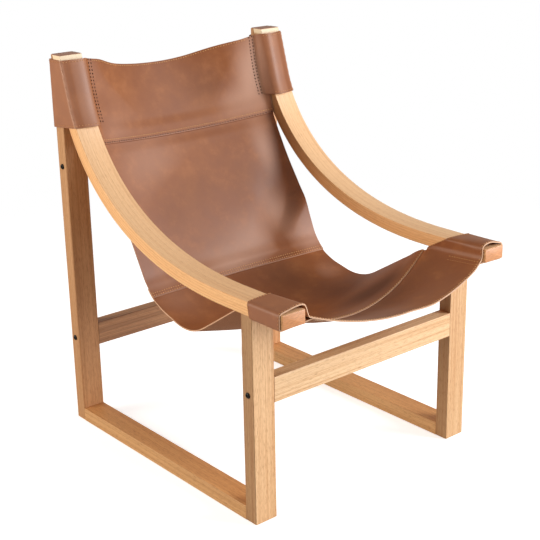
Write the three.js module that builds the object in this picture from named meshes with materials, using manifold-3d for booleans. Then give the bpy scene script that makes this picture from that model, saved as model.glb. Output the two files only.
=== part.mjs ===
// Sling lounge chair: a bolted timber frame with bent arms that carries a four-piece leather sling.
// Millimetres, +Z up, the sitter faces -Y. Heights start at the floor and depths at the legs' front faces.
import * as THREE from "three";
import { mergeVertices } from "three/addons/utils/BufferGeometryUtils.js";
import Module from "manifold-3d";

// Side frames
const frameWidth = 680;
const frameDepth = 744;
const timberWidth = 60;
const legDepth = 36;
const legHeight = 495;
const postDepth = 35;
const postHeight = 960;
const railHeight = 35;
const edgeRound = 2;
const endEase = 2;

// Stretchers between the side frames
const stretcherHeight = 60;
const stretcherDepth = 35;
const frontStretcherRise = 281;
const lowStretcherRise = 201;
const highStretcherDrop = 21;

// Bent arms
const armWidth = 62;
const armThickness = 32;
const armReach = 102;
const armFlatRun = 188;
const armFrontPull = 447;
const armTopPull = 74;
const armUpperRun = 117;
const armLean = THREE.MathUtils.degToRad(16);
const armTopSetback = 43.5;
const armEndEase = 3;
const armSteps = 26;

// Connector bolts with barrel nuts
const boltDiameter = 8;
const boltBite = 48;
const boltHeadDiameter = 14;
const boltHeadHeight = 4;
const boltSocketWidth = 5;
const boltSocketDepth = 2.5;
const barrelDiameter = 12;
const barrelLength = 22;
const barrelInset = 36;

// Dowels and screws
const dowelDiameter = 8;
const stretcherDowelDrop = 20;
const stretcherDowelInPost = 20;
const stretcherDowelInRail = 22;
const railDowelInPost = 20;
const railDowelInRail = 30;
const railDowelSpacing = 32;
const armDowelInLeg = 26;
const armDowelInArm = 18;
const armDowelSpacing = 30;
const screwDiameter = 5;
const screwLength = 48;
const screwHeadDiameter = 10;
const screwHeadHeight = 4;
const screwSink = 4;
const screwTopDrop = 48;
const screwSpacing = 24;
const fitGap = 0.3;
const holeSpare = 0.6;

// Leather sling
const leatherThickness = 3;
const leatherEase = 1.2;
const slingSideGap = 3;
const slingMargin = 36;
const lapWidth = 28;
const lapRamp = 12;
const lapGap = 0.3;
const headDrop = 12;
const sleeveHeight = 158;
const headLength = 212;
const headHollow = 11;
const backLength = 398;
const bandLength = 186;
const headSagBack = 98;
const headSagDown = 52;
const backSideShift = 42;
const backSideDrop = 212;
const backSagBack = 40;
const backSagDown = 15;
const seatBackDepth = 458;
const seatBackDrop = 109;
const seatBackSag = 12;
const seatLowDepth = 304;
const seatLowDrop = 142;
const seatLowSag = 45;
const frontRollDepth = 78;
const frontRollDrop = 3;
const bandSetback = 5;
const bandRise = 8;
const bandThrow = 27;
const bandSag = 49;
const bendRun = 60;

// Sleeves round the posts, and loops round the arm ends
const sleeveCorner = 7;
const sleeveSewnFrom = 18;
const sleeveSewnTo = 44;
const loopLeg = 1.5;
const loopInset = 8;
const loopShoulder = 14;
const loopPuff = 6;
const loopSewnFrom = 10;
const loopSewnTo = 36;
const loopRake = 10;

// Places that several pieces share
const innerHalf = frameWidth / 2 - timberWidth;
const timberMiddle = frameWidth / 2 - timberWidth / 2;
const armMiddle = innerHalf + armWidth / 2;
const armTop = legHeight + armThickness;
const postFront = frameDepth - postDepth;
const headTop = postHeight - headDrop;
const armBendTop = new THREE.Vector2(
  frameDepth - armTopSetback - armUpperRun * Math.tan(armLean),
  postHeight - armUpperRun,
);
const sheetOff = leatherThickness / 2 + leatherEase;
const lapShift = (leatherThickness + lapGap) / 2;
const slingHalf = innerHalf - slingSideGap;

const oak = { color: 0xe6b987, roughness: 0.55, metalness: 0 };
const beech = { color: 0xd8b98a, roughness: 0.6, metalness: 0 };
const leather = { color: 0xa0673f, roughness: 0.5, metalness: 0 };
const blackSteel = { color: 0x1d1c1c, roughness: 0.35, metalness: 0.9 };
const zincSteel = { color: 0xb9bcc0, roughness: 0.35, metalness: 0.9 };

const sides = { left: -1, right: 1 };
const chair = new THREE.Group();

function addPiece(name, geometry, finish, parent = chair) {
  const piece = new THREE.Mesh(geometry, new THREE.MeshStandardMaterial(finish));
  piece.name = name;
  parent.add(piece);
  return piece;
}

// Cutting and drilling

const wasm = await Module();
wasm.setup();

function solidFrom(geometry) {
  const bare = new THREE.BufferGeometry();
  bare.setAttribute("position", geometry.getAttribute("position").clone());
  if (geometry.index) {
    bare.setIndex(geometry.index.clone());
  }
  const merged = mergeVertices(bare, 1e-4);
  const vertProperties = new Float32Array(merged.getAttribute("position").array);
  const triVerts = new Uint32Array(merged.index.array);
  return new wasm.Manifold(new wasm.Mesh({ numProp: 3, vertProperties, triVerts }));
}

function geometryFrom(solid) {
  const mesh = solid.getMesh();
  const geometry = new THREE.BufferGeometry();
  geometry.setAttribute("position", new THREE.BufferAttribute(mesh.vertProperties, 3));
  geometry.setIndex(new THREE.BufferAttribute(mesh.triVerts, 1));
  return geometry;
}

// A straight round rod that starts at a point and runs along a direction.
function rod(radius, length, from, along, sideCount = 8) {
  const geometry = new THREE.CylinderGeometry(radius, radius, length, sideCount);
  const turn = new THREE.Quaternion().setFromUnitVectors(new THREE.Vector3(0, 1, 0), along);
  geometry.applyQuaternion(turn);
  const middle = from.clone().addScaledVector(along, length / 2);
  return geometry.translate(middle.x, middle.y, middle.z);
}

// Takes round holes out of a piece: each hole starts a little outside the wood and ends at its depth.
function drilled(geometry, holes) {
  const sideCount = 8;
  let solid = solidFrom(geometry);
  for (const hole of holes) {
    const mouth = hole.from.clone().addScaledVector(hole.along, -holeSpare);
    const corner = hole.radius / Math.cos(Math.PI / sideCount);
    const cutter = rod(corner, hole.depth + holeSpare, mouth, hole.along, sideCount);
    solid = solid.subtract(solidFrom(cutter));
  }
  return geometryFrom(solid);
}

// Timbers

// Outline of a squared timber with softened corners, in its own cross-section.
function timberOutline(width, depth, radius) {
  const shape = new THREE.Shape();
  const x = width / 2 - radius;
  const y = depth / 2 - radius;
  shape.absarc(x, y, radius, 0, Math.PI / 2);
  shape.absarc(-x, y, radius, Math.PI / 2, Math.PI);
  shape.absarc(-x, -y, radius, Math.PI, 1.5 * Math.PI);
  shape.absarc(x, -y, radius, 1.5 * Math.PI, 2 * Math.PI);
  return shape.getPoints(2).slice(0, -1);
}

// A closed body through a row of rings with the same number of points.
function loft(rings) {
  const count = rings[0].length;
  const points = rings.flat();
  const triangles = [];
  for (let ring = 0; ring < rings.length - 1; ring += 1) {
    for (let i = 0; i < count; i += 1) {
      const next = (i + 1) % count;
      const a = ring * count + i;
      const b = ring * count + next;
      triangles.push(a, b, b + count, a, b + count, a + count);
    }
  }
  const last = (rings.length - 1) * count;
  for (let i = 1; i < count - 1; i += 1) {
    triangles.push(0, i + 1, i);
    triangles.push(last, last + i, last + i + 1);
  }
  const geometry = new THREE.BufferGeometry().setFromPoints(points);
  return geometry.setIndex(triangles);
}

// A straight timber along Z from 0 to its length. Ends that show are eased, ends in a joint stay square.
function timber(width, depth, length, easeStart, easeEnd) {
  const full = timberOutline(width, depth, edgeRound);
  const ringAt = (height, ease) =>
    full.map((p) => new THREE.Vector3(
      p.x * (1 - (2 * ease) / width),
      p.y * (1 - (2 * ease) / depth),
      height,
    ));
  const rings = [ringAt(0, easeStart)];
  if (easeStart > 0) {
    rings.push(ringAt(easeStart, 0));
  }
  if (easeEnd > 0) {
    rings.push(ringAt(length - easeEnd, 0));
  }
  rings.push(ringAt(length, easeEnd));
  return loft(rings);
}

const axisX = new THREE.Vector3(1, 0, 0);
const axisY = new THREE.Vector3(0, 1, 0);
const axisZ = new THREE.Vector3(0, 0, 1);

// Heights and depths of the three stretchers, by their middles
const headSeamHeight = headTop - backSideDrop;
const stretchers = {
  front: { y: stretcherDepth / 2, z: frontStretcherRise + stretcherHeight / 2, inFront: true },
  lower_rear: { y: frameDepth - stretcherDepth / 2, z: lowStretcherRise + stretcherHeight / 2 },
  upper_rear: {
    y: frameDepth - stretcherDepth / 2,
    z: headSeamHeight - highStretcherDrop - stretcherHeight / 2,
  },
};

// Arm: its upper face runs flat from the front end, sweeps up and ends in a straight leaning run
function armFaceLine() {
  const line = new THREE.Path();
  const flatEnd = armFlatRun - armReach;
  line.moveTo(-armReach, armTop);
  line.lineTo(flatEnd, armTop);
  line.bezierCurveTo(
    flatEnd + armFrontPull, armTop,
    armBendTop.x - armTopPull * Math.sin(armLean), armBendTop.y - armTopPull * Math.cos(armLean),
    armBendTop.x, armBendTop.y,
  );
  line.lineTo(frameDepth - armTopSetback, postHeight);
  return line;
}

const [armFlat, armSweep, armUpright] = armFaceLine().curves;

// Depth of the arm's front face at a height within the sweep or the upper run.
function armFaceDepth(height) {
  if (height >= armBendTop.y) {
    return armBendTop.x + (height - armBendTop.y) * Math.tan(armLean);
  }
  let low = 0;
  let high = 1;
  for (let step = 0; step < 40; step += 1) {
    const middle = (low + high) / 2;
    if (armSweep.getPoint(middle).y < height) {
      low = middle;
    } else {
      high = middle;
    }
  }
  return armSweep.getPoint(low).x;
}

function armGeometry(side) {
  const outline = timberOutline(armWidth, armThickness, edgeRound);
  const ringAt = (face, along, ease) => {
    const under = new THREE.Vector2(along.y, -along.x);
    const middle = face.clone().addScaledVector(under, armThickness / 2);
    return outline.map((p) => {
      const across = p.x * (1 - (2 * ease) / armWidth);
      const down = p.y * (1 - (2 * ease) / armThickness);
      return new THREE.Vector3(across, middle.x + under.x * down, middle.y + under.y * down);
    });
  };
  const forward = armFlat.getTangent(0);
  const front = armFlat.getPoint(0);
  const rings = [
    ringAt(front, forward, armEndEase),
    ringAt(front.clone().addScaledVector(forward, armEndEase), forward, 0),
  ];
  for (let step = 0; step <= armSteps; step += 1) {
    rings.push(ringAt(armSweep.getPoint(step / armSteps), armSweep.getTangent(step / armSteps), 0));
  }
  const upward = armUpright.getTangent(1);
  const top = ringAt(armUpright.getPoint(1), upward, 0);
  for (const p of top) {
    const rise = (postHeight - p.z) / upward.y;
    p.y += upward.x * rise;
    p.z = postHeight;
  }
  rings.push(top);
  const holes = [];
  for (const offset of [-1, 1]) {
    holes.push({
      from: new THREE.Vector3(
        side * (timberMiddle - armMiddle) + (offset * armDowelSpacing) / 2, legDepth / 2, legHeight),
      along: axisZ,
      depth: armDowelInArm + fitGap,
      radius: dowelDiameter / 2 + fitGap,
    });
  }
  for (const place of screwPlaces()) {
    const mouth = new THREE.Vector3(0, place.y - screwSink - screwHeadDiameter, place.z);
    holes.push({
      from: mouth,
      along: axisY,
      depth: screwSink + screwHeadDiameter + screwHeadHeight + fitGap,
      radius: screwHeadDiameter / 2 + fitGap,
    });
    holes.push({
      from: mouth,
      along: axisY,
      depth: screwSink + screwHeadDiameter + screwLength,
      radius: screwDiameter / 2 + fitGap,
    });
  }
  return drilled(loft(rings), holes);
}

// Heads of the two screws that hold an arm's upper run to its post.
function screwPlaces() {
  return [0, 1].map((index) => {
    const z = postHeight - screwTopDrop - index * screwSpacing;
    return { y: armFaceDepth(z) + screwSink, z };
  });
}

// Holes in a leg or post for a stretcher's bolt and dowel, in the piece's own frame.
function stretcherHoles(side, depthMiddle, keep) {
  const holes = [];
  for (const stretcher of Object.values(stretchers).filter(keep)) {
    holes.push({
      from: new THREE.Vector3((side * timberWidth) / 2, stretcher.y - depthMiddle, stretcher.z),
      along: axisX.clone().multiplyScalar(-side),
      depth: timberWidth + holeSpare,
      radius: boltDiameter / 2 + fitGap,
    });
    holes.push({
      from: new THREE.Vector3(
        (-side * timberWidth) / 2, stretcher.y - depthMiddle, stretcher.z - stretcherDowelDrop),
      along: axisX.clone().multiplyScalar(side),
      depth: stretcherDowelInPost + fitGap,
      radius: dowelDiameter / 2 + fitGap,
    });
  }
  return holes;
}

// Holes for the base rail's two dowels, from a face at a depth, bored one way along Y.
function railHoles(face, direction, depth) {
  return [-1, 1].map((offset) => ({
    from: new THREE.Vector3((offset * railDowelSpacing) / 2, face, railHeight / 2),
    along: axisY.clone().multiplyScalar(direction),
    depth: depth + fitGap,
    radius: dowelDiameter / 2 + fitGap,
  }));
}

function legGeometry(side) {
  const holes = stretcherHoles(side, legDepth / 2, (stretcher) => stretcher.inFront);
  holes.push(...railHoles(legDepth / 2, -1, railDowelInPost));
  for (const offset of [-1, 1]) {
    holes.push({
      from: new THREE.Vector3((offset * armDowelSpacing) / 2, 0, legHeight),
      along: axisZ.clone().negate(),
      depth: armDowelInLeg + fitGap,
      radius: dowelDiameter / 2 + fitGap,
    });
  }
  return drilled(timber(timberWidth, legDepth, legHeight, endEase, 0), holes);
}

// The post's upper end is cut away along the back face of the arm's leaning run.
function postGeometry(side) {
  const depthMiddle = frameDepth - postDepth / 2;
  const backAtTop = frameDepth - armTopSetback + armThickness / Math.cos(armLean) + fitGap;
  const over = postDepth;
  const slope = Math.tan(armLean);
  const cut = new THREE.Shape();
  cut.moveTo(backAtTop + over * slope - depthMiddle, postHeight + over);
  cut.lineTo(-postDepth - over, postHeight + over);
  cut.lineTo(-postDepth - over, postHeight - (backAtTop - depthMiddle + postDepth + over) / slope);
  const wedge = new THREE.ExtrudeGeometry(cut, { depth: 2 * timberWidth, bevelEnabled: false, steps: 1 });
  wedge.applyMatrix4(new THREE.Matrix4().makeBasis(axisY, axisZ, axisX));
  wedge.translate(-timberWidth, 0, 0);
  const holes = stretcherHoles(side, depthMiddle, (stretcher) => !stretcher.inFront);
  holes.push(...railHoles(-postDepth / 2, 1, railDowelInPost));
  for (const place of screwPlaces()) {
    holes.push({
      from: new THREE.Vector3(side * (armMiddle - timberMiddle), place.y - depthMiddle, place.z),
      along: axisY,
      depth: screwLength + fitGap,
      radius: screwDiameter / 2 + fitGap,
    });
  }
  const whole = solidFrom(timber(timberWidth, postDepth, postHeight, endEase, endEase));
  return drilled(geometryFrom(whole.subtract(solidFrom(wedge))), holes);
}

function railGeometry() {
  const length = postFront - legDepth;
  const bar = timber(timberWidth, railHeight, length, 0, 0);
  bar.applyMatrix4(new THREE.Matrix4().makeBasis(axisX.clone().negate(), axisZ, axisY));
  bar.translate(0, 0, railHeight / 2);
  return drilled(bar, [
    ...railHoles(0, 1, railDowelInRail),
    ...railHoles(length, -1, railDowelInRail),
  ]);
}

function stretcherGeometry() {
  const length = 2 * innerHalf;
  const bar = timber(stretcherDepth, stretcherHeight, length, 0, 0);
  bar.applyMatrix4(new THREE.Matrix4().makeBasis(axisY, axisZ, axisX));
  bar.translate(-innerHalf, 0, 0);
  const holes = [];
  for (const side of Object.values(sides)) {
    const inward = axisX.clone().multiplyScalar(-side);
    holes.push({
      from: new THREE.Vector3(side * innerHalf, 0, 0),
      along: inward,
      depth: boltBite + holeSpare,
      radius: boltDiameter / 2 + fitGap,
    });
    holes.push({
      from: new THREE.Vector3(side * innerHalf, 0, -stretcherDowelDrop),
      along: inward,
      depth: stretcherDowelInRail + fitGap,
      radius: dowelDiameter / 2 + fitGap,
    });
    holes.push({
      from: new THREE.Vector3(side * (innerHalf - barrelInset), 0, -stretcherHeight / 2),
      along: axisZ,
      depth: stretcherHeight / 2 + barrelLength / 2 + fitGap,
      radius: barrelDiameter / 2 + fitGap,
    });
  }
  return drilled(bar, holes);
}

for (const [sideName, side] of Object.entries(sides)) {
  const sideFrame = new THREE.Group();
  sideFrame.position.x = side * timberMiddle;
  chair.add(sideFrame);
  addPiece(`${sideName}_front_leg`, legGeometry(side), oak, sideFrame).position.y = legDepth / 2;
  addPiece(`${sideName}_rear_post`, postGeometry(side), oak, sideFrame).position.y =
    frameDepth - postDepth / 2;
  addPiece(`${sideName}_base_rail`, railGeometry(), oak, sideFrame).position.y = legDepth;
  addPiece(`${sideName}_arm`, armGeometry(side), oak).position.x = side * armMiddle;
}

for (const [place, stretcher] of Object.entries(stretchers)) {
  addPiece(`${place}_stretcher`, stretcherGeometry(), oak).position.set(0, stretcher.y, stretcher.z);
}

// Fasteners

// Button-head bolt along -X from its seat at x = 0, with a hexagon socket in the head.
function boltGeometry() {
  const radius = boltDiameter / 2;
  const headRadius = boltHeadDiameter / 2;
  const length = timberWidth + boltBite;
  const profile = [
    new THREE.Vector2(0, -length),
    new THREE.Vector2(radius - 1, -length),
    new THREE.Vector2(radius, 1 - length),
    new THREE.Vector2(radius, 0),
    new THREE.Vector2(headRadius, 0),
    new THREE.Vector2(headRadius, boltHeadHeight * 0.25),
    new THREE.Vector2(headRadius * 0.88, boltHeadHeight * 0.62),
    new THREE.Vector2(headRadius * 0.64, boltHeadHeight * 0.92),
    new THREE.Vector2(headRadius * 0.5, boltHeadHeight),
    new THREE.Vector2(0, boltHeadHeight),
  ];
  const body = new THREE.LatheGeometry(profile, 16);
  const socketFrom = new THREE.Vector3(0, boltHeadHeight - boltSocketDepth, 0);
  const socket = rod(boltSocketWidth / Math.sqrt(3), 2 * boltSocketDepth, socketFrom, axisY, 6);
  const bolt = geometryFrom(solidFrom(body).subtract(solidFrom(socket)));
  return bolt.rotateZ(-Math.PI / 2);
}

function barrelNutGeometry() {
  const start = new THREE.Vector3(0, 0, -barrelLength / 2);
  const barrel = rod(barrelDiameter / 2, barrelLength, start, axisZ, 12);
  return drilled(barrel, [{
    from: new THREE.Vector3(-barrelDiameter / 2, 0, 0),
    along: axisX,
    depth: barrelDiameter + holeSpare,
    radius: boltDiameter / 2 + fitGap,
  }]);
}

for (const [place, stretcher] of Object.entries(stretchers)) {
  for (const [sideName, side] of Object.entries(sides)) {
    const bolt = addPiece(`${place}_bolt_${sideName}`, boltGeometry(), blackSteel);
    bolt.position.set((side * frameWidth) / 2, stretcher.y, stretcher.z);
    bolt.rotation.z = side > 0 ? 0 : Math.PI;
    const nut = addPiece(`${place}_barrel_nut_${sideName}`, barrelNutGeometry(), zincSteel);
    nut.position.set(side * (innerHalf - barrelInset), stretcher.y, stretcher.z);
    const from = new THREE.Vector3(stretcherDowelInPost, 0, 0);
    const pin = rod(
      dowelDiameter / 2, stretcherDowelInPost + stretcherDowelInRail, from, axisX.clone().negate());
    const dowel = addPiece(`${place}_dowel_${sideName}`, pin, beech);
    dowel.position.set(side * innerHalf, stretcher.y, stretcher.z - stretcherDowelDrop);
    dowel.rotation.z = side > 0 ? 0 : Math.PI;
  }
}

function screwGeometry() {
  const radius = screwDiameter / 2;
  const profile = [
    new THREE.Vector2(0, 0),
    new THREE.Vector2(screwHeadDiameter / 2, 0),
    new THREE.Vector2(radius, screwHeadHeight),
    new THREE.Vector2(radius, screwLength - 2 * screwDiameter),
    new THREE.Vector2(0, screwLength),
  ];
  return new THREE.LatheGeometry(profile, 8);
}

const ends = { inner: -1, outer: 1 };
for (const [sideName, side] of Object.entries(sides)) {
  for (const [endName, end] of Object.entries(ends)) {
    const x = side * timberMiddle + (side * end * railDowelSpacing) / 2;
    const length = railDowelInPost + railDowelInRail;
    const frontStart = new THREE.Vector3(0, -railDowelInPost, 0);
    const front = rod(dowelDiameter / 2, length, frontStart, axisY);
    addPiece(`${sideName}_front_rail_dowel_${endName}`, front, beech)
      .position.set(x, legDepth, railHeight / 2);
    const rearStart = new THREE.Vector3(0, -railDowelInRail, 0);
    const rear = rod(dowelDiameter / 2, length, rearStart, axisY);
    addPiece(`${sideName}_rear_rail_dowel_${endName}`, rear, beech)
      .position.set(x, postFront, railHeight / 2);
    const armStart = new THREE.Vector3(0, 0, -armDowelInLeg);
    const upright = rod(dowelDiameter / 2, armDowelInLeg + armDowelInArm, armStart, axisZ);
    addPiece(`${sideName}_arm_dowel_${endName}`, upright, beech)
      .position.set(side * timberMiddle + (side * end * armDowelSpacing) / 2, legDepth / 2, legHeight);
  }
  screwPlaces().forEach((place, index) => {
    const name = `${sideName}_arm_screw_${index === 0 ? "upper" : "lower"}`;
    addPiece(name, screwGeometry(), zincSteel).position.set(side * armMiddle, place.y, place.z);
  });
}

// Sling

// A line through corner points, each corner rounded off over a run on both sides of it.
function roundedLine(corners, runs) {
  const line = new THREE.Path();
  line.moveTo(corners[0].x, corners[0].y);
  for (let i = 1; i < corners.length - 1; i += 1) {
    const corner = corners[i];
    const before = corners[i - 1].clone().sub(corner).setLength(runs[i - 1]).add(corner);
    const after = corners[i + 1].clone().sub(corner).setLength(runs[i - 1]).add(corner);
    line.lineTo(before.x, before.y);
    line.quadraticCurveTo(corner.x, corner.y, after.x, after.y);
  }
  const end = corners[corners.length - 1];
  line.lineTo(end.x, end.y);
  line.arcLengthDivisions = 600;
  return line;
}

// The sling's two guide lines in depth and height: its side edges, and its middle, which hangs lower.
const sideTop = new THREE.Vector2(armFaceDepth(headTop) - sheetOff, headTop);
const sideSeam = new THREE.Vector2(sideTop.x - backSideShift, headSeamHeight);
const sideSeatBack = new THREE.Vector2(seatBackDepth, legHeight - seatBackDrop);
const sideSeatLow = new THREE.Vector2(seatLowDepth, legHeight - seatLowDrop);
const sideRoll = new THREE.Vector2(frontRollDepth, legHeight - frontRollDrop);
const sideFront = new THREE.Vector2(bandSetback - armReach, legHeight + bandRise);
const sideLine = roundedLine(
  [sideTop, sideSeam, sideSeatBack, sideSeatLow, sideRoll, sideFront],
  [bendRun * 0.6, bendRun, bendRun, bendRun * 0.7],
);
const middleLine = roundedLine(
  [
    sideTop.clone().add(new THREE.Vector2(headSagBack, -headSagDown)),
    sideSeam.clone().add(new THREE.Vector2(backSagBack, -backSagDown)),
    sideSeatBack.clone().add(new THREE.Vector2(seatBackSag, 0)),
    sideSeatLow.clone().add(new THREE.Vector2(0, -seatLowSag)),
    sideFront.clone().add(new THREE.Vector2(-bandThrow, -bandSag)),
  ],
  [bendRun, bendRun * 1.25, bendRun * 1.5],
);

// Where each leather piece ends along the two guide lines
const cuts = [sideLine, middleLine].map((line, index) => {
  const headCut = headLength - index * headHollow;
  const total = line.getLength();
  return { line, total, head: headCut, back: headCut + backLength, seat: total - bandLength };
});

// A point of the sling: across runs from -1 to 1 between its side edges, station is a share of the way
// from one cut to the next, and extra is a length past it.
function slingPoint(across, from, to, share, extra = 0, half = slingHalf) {
  const [side, middle] = cuts.map((cut) => {
    const start = cut[from] ?? 0;
    const end = cut[to];
    const length = start + (end - start) * share + extra;
    return cut.line.getPointAt(THREE.MathUtils.clamp(length / cut.total, 0, 1));
  });
  const point = middle.lerp(side, across * across);
  return new THREE.Vector3(across * half, point.x, point.y);
}

// A sheet of even thickness over a grid of middle points. Cells that the cutting pattern leaves out are
// skipped, and shifts moves whole rows along the sheet's normal where pieces lap.
function sheet(grid, shifts, isCut = () => true) {
  const rowCount = grid.length;
  const columnCount = grid[0].length;
  const points = [];
  const slot = (row, column, layer) => (row * columnCount + column) * 2 + layer;
  const inside = (row, column) =>
    row >= 0 && column >= 0 && row < rowCount - 1 && column < columnCount - 1 && isCut(row, column);
  for (let row = 0; row < rowCount; row += 1) {
    for (let column = 0; column < columnCount; column += 1) {
      const normal = sheetNormal(grid, row, column, inside);
      const shift = shifts[row];
      points.push(grid[row][column].clone().addScaledVector(normal, shift + leatherThickness / 2));
      points.push(grid[row][column].clone().addScaledVector(normal, shift - leatherThickness / 2));
    }
  }
  const triangles = [];
  const quad = (a, b, c, d) => triangles.push(a, b, c, a, c, d);
  for (let row = 0; row < rowCount - 1; row += 1) {
    for (let column = 0; column < columnCount - 1; column += 1) {
      if (!inside(row, column)) {
        continue;
      }
      const corners = [[row, column], [row + 1, column], [row + 1, column + 1], [row, column + 1]];
      const face = corners.map(([r, c]) => slot(r, c, 0));
      const back = corners.map(([r, c]) => slot(r, c, 1));
      quad(...face);
      quad(...back.toReversed());
      const beyond = [[row, column - 1], [row + 1, column], [row, column + 1], [row - 1, column]];
      beyond.forEach(([r, c], edge) => {
        const next = (edge + 1) % 4;
        if (!inside(r, c)) {
          quad(face[next], face[edge], back[edge], back[next]);
        }
      });
    }
  }
  return mergeVertices(new THREE.BufferGeometry().setFromPoints(points).setIndex(triangles).toNonIndexed());
}

// Normal of a sheet at a grid point, towards the sitter, from the cells that meet there.
function sheetNormal(grid, row, column, inside) {
  const normal = new THREE.Vector3();
  for (const [r, c] of [[row - 1, column - 1], [row - 1, column], [row, column - 1], [row, column]]) {
    if (inside(r, c)) {
      const down = grid[r + 1][c].clone().add(grid[r + 1][c + 1]).sub(grid[r][c]).sub(grid[r][c + 1]);
      const over = grid[r][c + 1].clone().add(grid[r + 1][c + 1]).sub(grid[r][c]).sub(grid[r + 1][c]);
      normal.add(down.cross(over).normalize());
    }
  }
  return normal.normalize();
}

// Places across the sling, closer together in its two side margins
const marginSteps = 3;
const innerSteps = 16;
const marginShare = 1 - slingMargin / slingHalf;
const innerValues = Array.from(
  { length: innerSteps + 1 },
  (_, i) => marginShare * ((2 * i) / innerSteps - 1),
);
const marginValues = Array.from(
  { length: marginSteps },
  (_, i) => marginShare + ((1 - marginShare) * (i + 1)) / marginSteps,
);
const acrossValues = [...marginValues.map((value) => -value).reverse(), ...innerValues, ...marginValues];
const acrossSteps = acrossValues.length - 1;

// How far a lapped row is lifted: fully inside the lap, and easing off over a ramp beside it.
function lapLift(distance) {
  return lapShift * (1 - THREE.MathUtils.smoothstep(distance, lapWidth, lapWidth + lapRamp));
}

// Rows of a plain panel between two cuts, with a lap under the piece above and a lap over the one below.
function panel(from, to, steps) {
  const length = cuts[0][to] - cuts[0][from];
  const rows = [];
  const tops = [-lapWidth, -lapWidth / 2, 0, lapRamp];
  const bottoms = [length - lapWidth - lapRamp, length - lapWidth, length - lapWidth / 2, length];
  for (const along of tops) {
    rows.push({ along, lift: -lapLift(along + lapWidth) });
  }
  for (let step = 1; step < steps; step += 1) {
    const along = lapRamp + ((bottoms[0] - lapRamp) * step) / steps;
    rows.push({ along, lift: 0 });
  }
  for (const along of bottoms) {
    rows.push({ along, lift: lapLift(length - along) });
  }
  const grid = rows.map(({ along }) => {
    const share = THREE.MathUtils.clamp(along / length, 0, 1);
    const extra = Math.min(along, 0);
    return acrossValues.map((across) => slingPoint(across, from, to, share, extra));
  });
  return sheet(grid, rows.map((row) => row.lift));
}

addPiece("back_panel", panel("head", "back", 7), leather);
addPiece("seat_panel", panel("back", "seat", 16), leather);

// Points of a wrap, given its corners in one plane: each corner becomes a short bend.
function bends(corners, radii) {
  const points = [];
  for (let i = 1; i < corners.length - 1; i += 1) {
    const corner = corners[i];
    const radius = radii[i - 1];
    const before = corners[i - 1].clone().sub(corner).setLength(radius).add(corner);
    const after = corners[i + 1].clone().sub(corner).setLength(radius).add(corner);
    const bend = new THREE.QuadraticBezierCurve3(before, corner, after);
    points.push(...bend.getPoints(3));
  }
  return points;
}

// A grid row: the wrap on the left, the sling's own width, and the wrap on the right.
function wrappedRow(main, wrap) {
  const mirrored = wrap.map((p) => new THREE.Vector3(-p.x, p.y, p.z)).reverse();
  return [...mirrored, ...main, ...wrap];
}

// The point of a row at a distance in from its side edge, moved behind the sheet to sew a flap there.
function behindRow(main, next, inset) {
  const half = main[main.length - 1].x;
  let column = main.length - 2;
  while (main[column].x > half - inset) {
    column -= 1;
  }
  const share = (half - inset - main[column].x) / (main[column + 1].x - main[column].x);
  const point = main[column].clone().lerp(main[column + 1], share);
  const over = main[column + 1].clone().sub(main[column]);
  const down = next[column].clone().sub(main[column]);
  const normal = down.cross(over).normalize();
  return point.addScaledVector(normal, -leatherThickness - lapGap);
}

// A row of the head panel: its side margins are drawn forward to the arms' front faces, less so below
// the sleeves, where the edges hang free between the arms.
function headRow(share, sleeveShare) {
  const row = acrossValues.map((across) => slingPoint(across, "start", "head", share));
  const edge = row[row.length - 1];
  const pull = 1 - THREE.MathUtils.smoothstep(share, sleeveShare, 1);
  const forward = pull * (edge.y - armFaceDepth(edge.z) + sheetOff);
  return row.map((point, i) => {
    const inMargin = Math.max(0, (Math.abs(acrossValues[i]) - marginShare) / (1 - marginShare));
    return new THREE.Vector3(point.x, point.y - forward * inMargin * inMargin, point.z);
  });
}

// Head panel: sleeves at both ends go round the arm and post and are sewn down behind the panel.
function headPanel() {
  const sleeveSteps = 6;
  const sleeveShare = sleeveHeight / headLength;
  const shares = Array.from({ length: sleeveSteps + 1 }, (_, i) => (sleeveShare * i) / sleeveSteps);
  const flatShares = [headLength - lapWidth - lapRamp, headLength - lapWidth, headLength - lapWidth / 2]
    .map((along) => along / headLength)
    .filter((share) => share > sleeveShare + 0.02);
  const all = [...shares, ...flatShares, 1];
  const mains = all.map((share) => headRow(share, sleeveShare));
  const outer = innerHalf + armWidth + sheetOff;
  const rear = frameDepth + sheetOff;
  const grid = mains.map((main, row) => {
    const edge = main[main.length - 1];
    const step = row < mains.length - 1 ? 1 : -1;
    const next = step > 0 ? mains[row + 1] : main.map((p, i) => p.clone().multiplyScalar(2).sub(mains[row - 1][i]));
    const corners = [
      edge,
      new THREE.Vector3(outer, edge.y, edge.z),
      new THREE.Vector3(outer, rear, edge.z),
      new THREE.Vector3(innerHalf - sheetOff, rear, edge.z),
      behindRow(main, next, sleeveSewnFrom),
    ];
    const sewn = [sleeveSewnFrom, (sleeveSewnFrom + sleeveSewnTo) / 2, sleeveSewnTo];
    const flap = sewn.map((inset) => behindRow(main, next, inset));
    return wrappedRow(main, [...bends(corners, [sleeveCorner, sleeveCorner, sleeveCorner]), ...flap]);
  });
  const lifts = all.map((share) => lapLift(headLength * (1 - share)));
  const wrapCount = (grid[0].length - acrossValues.length) / 2;
  const isMain = (column) => column >= wrapCount && column < wrapCount + acrossSteps;
  return sheet(grid, lifts, (row, column) => isMain(column) || row < sleeveSteps);
}

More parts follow.
